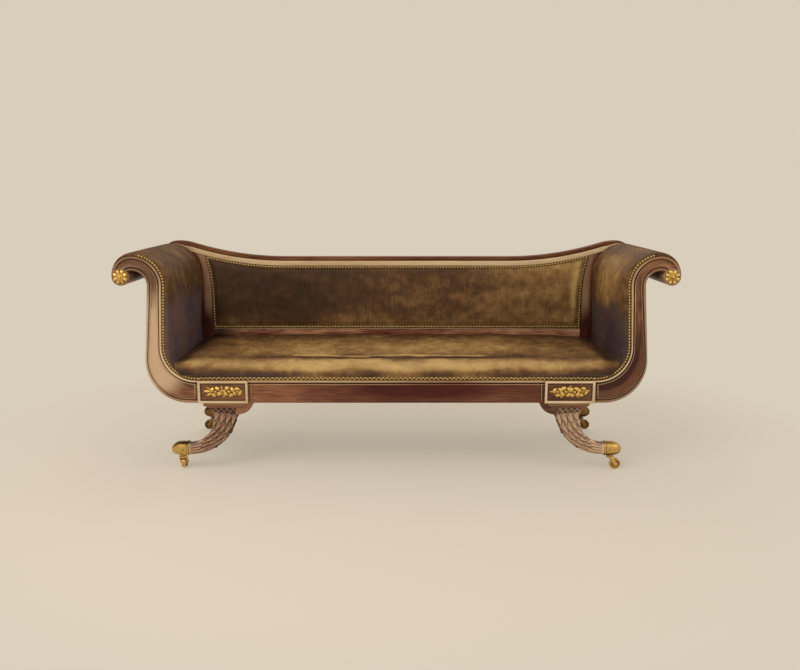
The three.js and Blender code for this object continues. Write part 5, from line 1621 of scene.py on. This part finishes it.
def back_cushion():
    """The stuffed back panel, tacked all round inside its frame."""
    x, z, along, up = panel_grid()
    edge = np.minimum(np.minimum(z - PANEL_BOTTOM, crest_bottom(x) - z), panel_edge(z) - np.abs(x))
    crown = smooth(edge, 0.011, 0.050) ** 0.6 * (1 - 0.25 * np.abs(along) ** 8)
    y = BACK_FACE - 0.003 - 0.017 * crown * (0.82 + 0.18 * np.sin(np.pi * up))
    points, faces, back = slab(np.stack([x, y, z], 2), BACK_FACE + 0.024)
    # Painted light over the panel: lighter to the right and along its foot, a painted highlight inside its
    # right edge, and painted shade over its left end
    wave = 0.05 * ripples(z, 19, 0.3, 0.13)
    light = 0.20 + 0.18 * smooth(x + wave, -0.50, 0.05) + 0.19 * smooth(x, 0.2, 0.6)
    light += 0.20 * (1 - smooth(z - PANEL_BOTTOM, 0.01, 0.09)) * (1 - smooth(x + wave, -0.10, 0.35))
    light += 0.30 * np.exp(-((panel_edge(z) - x - 0.036) / 0.015) ** 2) * window(z, 0.60, 0.72, 0.09)
    dusk = 0.30 * (1 - smooth(x + wave, -0.80, -0.45)) * smooth(z - PANEL_BOTTOM, 0.04, 0.1)
    plain = np.zeros(len(back))
    form = Form()
    form.add(points, faces, glow=np.append(light, plain + 0.2), dusk=np.append(np.clip(dusk, 0, 1), plain))
    uv = [np.stack([x.ravel(), z.ravel()], 1), back[:, [0, 2]]]
    piece = form.made("back_cushion", back_hide, slot="leather", replaces=["back_pad"], uv=uv, angle=70)
    stuffed(piece, x.shape, smooth(edge, 0.013, 0.05), 0.006)
    path = np.where(np.abs(along) * 0.85 > 0.8, z, x)
    near_tacks = window(edge, 0.013, 0.024, 0.006)
    soft = 0.0011 * ripples(x, 29, 0.37, 0.16) * smooth(edge, 0.03, 0.09)
    shifted(piece, np.append(-0.0007 * puckers(path, 23, 0.12, 0.05) * near_tacks + soft, plain))
    return piece


def outside_arm(side_name, side):
    """Leather stretched over the outside of an arm."""
    corner, scroll, end = outer_edge(COVER_LIFT, math.radians(72))
    line = np.vstack([from_rail(corner, RAIL_END + 2 * FIT), scroll, end[1:]])
    line = resampled(line, np.linspace(0, 1, 140))
    y0, y1 = FRONT_INNER + FIT, REAR_INNER - FIT
    ys = np.linspace(y0, y1, 30)
    dent = -0.0016 * np.sin(np.pi * (ys - y0) / (y1 - y0))
    around = np.concatenate([ys, ys[::-1]])
    lift = np.concatenate([dent, np.full(len(ys), -COVER_THICKNESS)])
    rings = [np.stack([p[0] + n[0] * lift, around, p[1] + n[1] * lift], 1)
             for p, n in zip(line, -beside(line))]
    # Painted light on the cover: lighter up its side, with painted shade under the scroll
    glow = 0.25 + 0.25 * smooth(line[:, 1], 0.45, 0.65) - 0.7 * smooth(line[:, 1], 0.66, 0.74)
    form = Form()
    form.tube(sided(rings, side), glow=np.repeat(glow, len(around)), dusk=0.0)
    return form.stand_in("outside_arm_cover_" + side_name, "_stretched", outside_hide, "leather", angle=60)


def outside_back():
    """Leather stretched over the outside of the back, tacked all round."""
    low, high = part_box("outside_back_cover")
    half = high.x
    x, up = np.meshgrid(np.linspace(-half, half, 150), np.linspace(0, 1, 40), indexing="ij")
    top = crest_bottom(x) - FIT
    z = low.z + (top - low.z) * up
    edge = np.minimum(np.minimum(z - low.z, top - z), half - np.abs(x))
    y = high.y - 0.0012 * smooth(edge, 0.02, 0.16)
    points, faces, under = slab(np.stack([x, y, z], 2), low.y)
    # Painted light, lighter towards the top of the cover
    glow = np.append(0.30 + 0.15 * smooth(z, 0.4, 0.8), np.full(len(under), 0.2))
    form = Form()
    form.add(points, faces, glow=glow, dusk=0.0)
    return form.made("outside_back_stretched", outside_hide, slot="leather",
                     replaces=["outside_back_cover"], angle=60)


# Gimp and close nailing


def gimp_strip(name, path, facing, closed=False):
    """Braid with scalloped edges along a path of X, Y, Z points, lying against the cover."""
    length = length_along(path)[-1]
    count = int(length / GIMP_STEP)
    shares = np.linspace(0, 1, count, endpoint=not closed)
    line = resampled(path, shares)
    face = unit(resampled(np.hstack([path, facing]), shares)[:, 3:])
    ahead = np.roll(line, -1, 0) - np.roll(line, 1, 0)
    if not closed:
        ahead[0], ahead[-1] = line[1] - line[0], line[-1] - line[-2]
    aside = np.cross(face, unit(ahead))
    run = shares * length
    half = GIMP_WIDTH / 2 * (0.90 + 0.10 * np.abs(np.cos(math.pi * run / GIMP_SCALLOP)))
    places = np.array([-1, -0.97, -0.7, -0.35, 0, 0.35, 0.7, 0.97, 1])
    rises = np.array([0, 0.55, 0.95, 0.8, 1, 0.8, 0.95, 0.55, 0]) * GIMP_THICKNESS
    rings = np.array([p + np.outer(places * h, s) + np.outer(rises, f)
                      for p, h, s, f in zip(line, half, aside, face)])
    uv = [np.stack([np.repeat(run, len(places)), np.tile(places * GIMP_WIDTH / 2, count)], 1)]
    form = Form()
    if closed:
        form.add(rings.reshape(-1, 3), grid_faces(count, len(places), True, True))
    else:
        form.tube(rings)
    return form.made(name, gimp_finish, slot="webbing", uv=uv, angle=80)


def nail_tree():
    """Nodes that set domed nail heads along a path, in pairs of low and high where they are staggered."""
    tree = bpy.data.node_groups.new("close_nailing", "GeometryNodeTree")
    sockets = {}
    for way in ("INPUT", "OUTPUT"):
        tree.interface.new_socket("Geometry", in_out=way, socket_type="NodeSocketGeometry")
    for label, kind in (("Pitch", "Float"), ("Head radius", "Float"), ("Head height", "Float"),
                        ("Stagger", "Float"), ("Unevenness", "Float"), ("Seed", "Int"),
                        ("Finish", "Material")):
        socket = tree.interface.new_socket(label, in_out="INPUT", socket_type="NodeSocket" + kind)
        sockets[label] = socket.identifier
    nodes, links = tree.nodes, tree.links

    def add(kind, inputs=None, **settings):
        """One node, with the links or plain values of its inputs and its settings."""
        node = nodes.new(kind)
        for key, value in settings.items():
            setattr(node, key, value)
        for key, value in (inputs or {}).items():
            if isinstance(value, bpy.types.NodeSocket):
                links.new(value, node.inputs[key])
            else:
                node.inputs[key].default_value = value
        return node

    def random(low, high):
        """A random number for each point."""
        inputs = {2: low, 3: high, "Seed": given["Seed"]}
        return add("FunctionNodeRandomValue", inputs, data_type="FLOAT").outputs[1]

    def maths(operation, *values):
        """One step of arithmetic."""
        return add("ShaderNodeMath", dict(enumerate(values)), operation=operation).outputs[0]

    given = add("NodeGroupInput").outputs
    curve = add("GeometryNodeMeshToCurve", {"Mesh": given["Geometry"]})
    spacing = {"Curve": curve.outputs[0], "Length": given["Pitch"]}
    row = add("GeometryNodeResampleCurve", spacing, mode="LENGTH")
    named = add("GeometryNodeInputNamedAttribute", {"Name": "facing"}, data_type="FLOAT_VECTOR")
    facing = named.outputs["Attribute"]
    tangent = add("GeometryNodeInputTangent").outputs[0]
    sideways = add("ShaderNodeVectorMath", {0: facing, 1: tangent}, operation="CROSS_PRODUCT").outputs[0]
    index = add("GeometryNodeInputIndex").outputs[0]
    signed = maths("MULTIPLY_ADD", maths("MODULO", index, 2.0), 2.0, -1.0)
    step = maths("MULTIPLY", signed, given["Stagger"])
    uneven = maths("MULTIPLY_ADD", random(-1.0, 1.0), given["Unevenness"], step)
    offset = add("ShaderNodeVectorMath", {0: sideways, "Scale": uneven}, operation="SCALE").outputs[0]
    placed = add("GeometryNodeSetPosition", {"Geometry": row.outputs[0], "Offset": offset})
    head = add("GeometryNodeMeshUVSphere", {"Segments": 10, "Rings": 6, "Radius": 1.0})
    radius, height = given["Head radius"], given["Head height"]
    size = add("ShaderNodeCombineXYZ", {"X": radius, "Y": radius, "Z": height})
    shaped = add("GeometryNodeTransform", {"Geometry": head.outputs[0], "Scale": size.outputs[0]})
    stand = add("FunctionNodeAlignRotationToVector", {"Vector": facing}, axis="Z")
    heads = add("GeometryNodeInstanceOnPoints", {"Points": placed.outputs[0], "Instance": shaped.outputs[0],
                                                 "Rotation": stand.outputs[0], "Scale": random(0.93, 1.05)})
    real = add("GeometryNodeRealizeInstances", {"Geometry": heads.outputs[0]})
    even = add("GeometryNodeSetShadeSmooth", {"Geometry": real.outputs[0]})
    coated = add("GeometryNodeSetMaterial", {"Geometry": even.outputs[0], "Material": given["Finish"]})
    out = add("NodeGroupOutput")
    links.new(coated.outputs[0], out.inputs["Geometry"])
    return tree, sockets


NAIL_TREE, NAIL_SOCKETS = nail_tree()


def nail_row(name, path, facing, seed, stagger=0.0, closed=False, pitch=NAIL_PITCH):
    """Brass nails along a path of X, Y, Z points, heads towards facing."""
    mesh = bpy.data.meshes.new(name + "_path")
    count = len(path)
    edges = [(i, i + 1) for i in range(count - 1)] + ([(count - 1, 0)] if closed else [])
    mesh.from_pydata(path.tolist(), edges, [])
    towards = mesh.attributes.new("facing", "FLOAT_VECTOR", "POINT")
    towards.data.foreach_set("vector", facing.astype(np.float32).ravel())
    guide = linked(name + "_path", mesh)
    modifier = guide.modifiers.new("close nailing", "NODES")
    modifier.node_group = NAIL_TREE
    given = {"Pitch": pitch, "Head radius": NAIL_RADIUS, "Head height": NAIL_HEIGHT, "Stagger": stagger,
             "Unevenness": NAIL_DRIFT, "Seed": seed, "Finish": nail_brass}
    for label, value in given.items():
        modifier[NAIL_SOCKETS[label]] = value
    evaluated = guide.evaluated_get(bpy.context.evaluated_depsgraph_get())
    heads = bpy.data.meshes.new_from_object(evaluated)
    bpy.data.objects.remove(guide)
    heads.name = name
    return settle(linked(name, heads), "frame", "brass")


def flat_path(xz, y):
    """X, Y, Z points of a line of X and Z at one depth."""
    return np.stack([xz[:, 0], np.full(len(xz), y), xz[:, 1]], 1)


FORWARD = np.array([0.0, -1.0, 0.0])


def front_border_path():
    """The tacked line of the front, from one scroll down along the seat and up to the other."""
    corner, scroll, _ = inner_edge(NAIL_INSET, -QUARTER)
    half = np.vstack([corner, resampled(scroll, np.linspace(0, 0.84, 80))])
    whole = np.vstack([half[::-1] * [-1, 1], half])
    return resampled(whole, np.linspace(0, 1, 900))


def panel_border_path():
    """The tacked line round the back panel: its right side, top, left side and foot."""
    side_z = np.linspace(PANEL_BOTTOM + NAIL_INSET, panel_corner_height() - NAIL_INSET - 0.001, 60)
    right = np.stack([panel_edge(side_z) - NAIL_INSET, side_z], 1)
    left = right[::-1] * [-1, 1]
    top_x = np.linspace(right[-1, 0] - 0.004, -right[-1, 0] + 0.004, 220)
    top = np.stack([top_x, crest_bottom(top_x) - NAIL_INSET], 1)
    foot_x = np.linspace(left[-1, 0], right[0, 0], 200)[1:-1]
    foot = np.stack([foot_x, np.full(len(foot_x), PANEL_BOTTOM + NAIL_INSET)], 1)
    return np.vstack([right, top, left, foot])


def outside_back_path():
    """The nailed line round the outside of the back: its foot, one side, top and the other side."""
    low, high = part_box("outside_back_cover")
    reach, foot_z = high.x - BACK_NAIL_INSET, low.z + BACK_NAIL_INSET
    xs = np.linspace(-reach, reach, 160)
    top_z = crest_bottom(xs) - BACK_NAIL_INSET
    rise_1, rise_2 = np.linspace(foot_z, top_z[-1], 52)[1:-1], np.linspace(top_z[0], foot_z, 52)[1:-1]
    x = np.concatenate([xs, np.full(len(rise_1), reach), xs[::-1], np.full(len(rise_2), -reach)])
    z = np.concatenate([np.full(len(xs), foot_z), rise_1, top_z[::-1], rise_2])
    return flat_path(np.stack([x, z], 1), high.y)


def nailed_front():
    """Gimp and nails along the tacked line of the front; the seat's nails are closer and staggered."""
    line = flat_path(front_border_path(), PAD_FRONT)
    facing = np.tile(FORWARD, (len(line), 1))
    gimp_strip("gimp_front", line, facing)
    raised = line + FORWARD * NAIL_SEAT
    x = raised[:, 0]
    for label, kept, stagger, pitch in (
            ("left_arm", x < -RAIL_END, 0.0, NAIL_PITCH),
            ("seat", np.abs(x) < RAIL_END - 0.004, SEAT_NAIL_STAGGER, SEAT_NAIL_PITCH),
            ("right_arm", x > RAIL_END, 0.0, NAIL_PITCH)):
        nail_row("nails_" + label, raised[kept], facing[kept], 1, stagger, pitch=pitch)


def nailed_back():
    """Gimp and nails round the back panel, and nails round the outside of the back."""
    panel = flat_path(panel_border_path(), BACK_FACE - 0.003)
    facing = np.tile(FORWARD, (len(panel), 1))
    gimp_strip("gimp_back_panel", panel, facing, closed=True)
    nail_row("nails_back_panel", panel + FORWARD * NAIL_SEAT, facing, 2, closed=True, pitch=PANEL_NAIL_PITCH)
    rear = outside_back_path()
    facing = np.tile(-FORWARD, (len(rear), 1))
    nail_row("nails_outside_back", rear, facing, 3, closed=True, pitch=OUTSIDE_NAIL_PITCH)


def nailed_arm(side_name, side):
    """Nails along both edges of an arm's outside cover."""
    corner, scroll, end = outer_edge(COVER_LIFT, math.radians(80))
    line = resampled(np.vstack([corner, scroll, end[1:]]), np.linspace(0, 1, 300))
    out = sided(flat_path(-beside(line), 0.0), side)
    for edge_name, y, seed in (("front", FRONT_INNER + ARM_NAIL_INSET, 4),
                               ("rear", REAR_INNER - ARM_NAIL_INSET, 5)):
        along = sided(flat_path(line, y), side)
        nail_row(f"nails_outside_arm_{edge_name}_{side_name}", along, out, seed, pitch=OUTSIDE_NAIL_PITCH)


# Pieces of the frame that show as they are

CAD_FINISHES = {
    "rear_seat_rail": rear_wood, "side_rail_left": beech, "side_rail_right": beech,
    "seat_brace_left": beech, "seat_brace_right": beech,
    "arm_top_rail_left": beech, "arm_top_rail_right": beech, "seat_webbing": jute(),
}


def dressed_frame():
    """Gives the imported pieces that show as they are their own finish."""
    for name, finish in CAD_FINISHES.items():
        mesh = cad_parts[name].data
        mesh.materials.clear()
        mesh.materials.append(finish)


# Assembly

front_rail()
crest_rail()
lower_rail()
for side_name, side in SIDES:
    front_arm_support(side_name, side)
    rear_arm_support(side_name, side)
    arm_roll(side_name, side)
    back_stile(side_name, side)
    tablet(side_name, side)
    rosette(side_name, side)
    arm_cushion(side_name, side)
    outside_arm(side_name, side)
    for end in ("front", "rear"):
        cap_block(end, side_name, side)
        sabre_leg(end, side_name, side)
        toe_cap(end, side_name, side)
tablet_mount("left", -1, LEFT_SPRAY_FLOWERS, LEFT_SPRAY_LEAVES)
tablet_mount("right", 1, RIGHT_SPRAY_FLOWERS, RIGHT_SPRAY_LEAVES)
CASTER_TURNS = (("front_left", -1, "front", QUARTER), ("front_right", 1, "front", 0.0),
                ("rear_left", -1, "rear", math.pi), ("rear_right", 1, "rear", 0.0))
for where, side, end, turn in CASTER_TURNS:
    caster_fork(where, side, end, turn)
    caster_wheel(where, side, end, turn)
seat_cushion()
back_cushion()
outside_back()
nailed_front()
nailed_back()
for side_name, side in SIDES:
    nailed_arm(side_name, side)
dressed_frame()


# Floor, light and camera

PAPER = "d9cebb"
FLOOR_HALF = 5.0
FLOOR_LEVEL = -0.0003
LAMP_TARGET = Vector((0, 0, 0.45))
CAMERA_PLACE = (0.014, -3.344, 1.106)
CAMERA_TILT = math.radians(90 - 10.4)


def paper_floor():
    """A pale floor that keeps the shadows near the sofa and fades into the background."""
    f = Finish("pale floor")
    away = f.add("VectorMath", {"operation": "LENGTH"}, {0: f.place()}, "Value")
    clear = f.add("BsdfTransparent", {}, {})
    for socket, value in (("Base Color", tone("a39a8e")), ("Roughness", 0.95), ("Specular IOR Level", 0.0),
                          ("Emission Color", tone(PAPER)), ("Emission Strength", 0.50)):
        f.put(f.surface.inputs[socket], value)
    shown = Value(f, f.surface.outputs[0])
    both = f.add("MixShader", {}, {0: f.step(away, 1.3, 2.2), 1: shown, 2: clear})
    f.tree.links.new(both.socket, f.tree.nodes["Material Output"].inputs["Surface"])
    mesh = bpy.data.meshes.new("floor")
    corners = [(a * FLOOR_HALF, b * FLOOR_HALF, FLOOR_LEVEL) for a, b in CORNERS]
    mesh.from_pydata(corners, [], [(0, 1, 2, 3)])
    mesh.materials.append(f.material)
    linked("floor", mesh)


def studio():
    """A soft white world that shows as paper behind the sofa, and three area lamps."""
    world = bpy.data.worlds.new("studio")
    scene.world = world
    world.use_nodes = True
    nodes, links = world.node_tree.nodes, world.node_tree.links

    def either(one, other):
        """The greater of two rays' marks."""
        node = nodes.new("ShaderNodeMath")
        node.operation = "MAXIMUM"
        links.new(one, node.inputs[0])
        links.new(other, node.inputs[1])
        return node.outputs[0]

    light = nodes["Background"]
    light.inputs["Color"].default_value = tone("f2efe8")
    light.inputs["Strength"].default_value = 0.72
    paper = nodes.new("ShaderNodeBackground")
    paper.inputs["Color"].default_value = tone(PAPER)
    ray = nodes.new("ShaderNodeLightPath").outputs
    seen = either(either(ray["Is Camera Ray"], ray["Is Glossy Ray"]), ray["Is Transmission Ray"])
    mix = nodes.new("ShaderNodeMixShader")
    for number, output in enumerate((seen, light.outputs[0], paper.outputs[0])):
        links.new(output, mix.inputs[number])
    links.new(mix.outputs[0], nodes["World Output"].inputs["Surface"])
    for label, place, size, power, colour in (("key", (-2.2, -2.6, 3.0), 2.6, 78, "fff6ea"),
                                              ("fill", (2.8, -2.2, 1.8), 2.6, 24, "fbf3e6"),
                                              ("rear", (0.3, 2.8, 2.6), 2.6, 22, "fff8ee")):
        data = bpy.data.lights.new(label, "AREA")
        data.size, data.energy, data.color = size, power, tone(colour)[:3]
        lamp = linked(label, data)
        lamp.location = place
        lamp.rotation_euler = (LAMP_TARGET - Vector(place)).to_track_quat("-Z", "Y").to_euler()


def camera():
    """The drawing's straight view from the front, a little from above."""
    data = bpy.data.cameras.new("camera")
    data.lens, data.sensor_width = 36.3, 36.0
    seen_from = linked("camera", data)
    seen_from.location = CAMERA_PLACE
    seen_from.rotation_euler = (CAMERA_TILT, 0, 0)
    scene.camera = seen_from


paper_floor()
studio()
camera()
scene.view_settings.view_transform = "Standard"
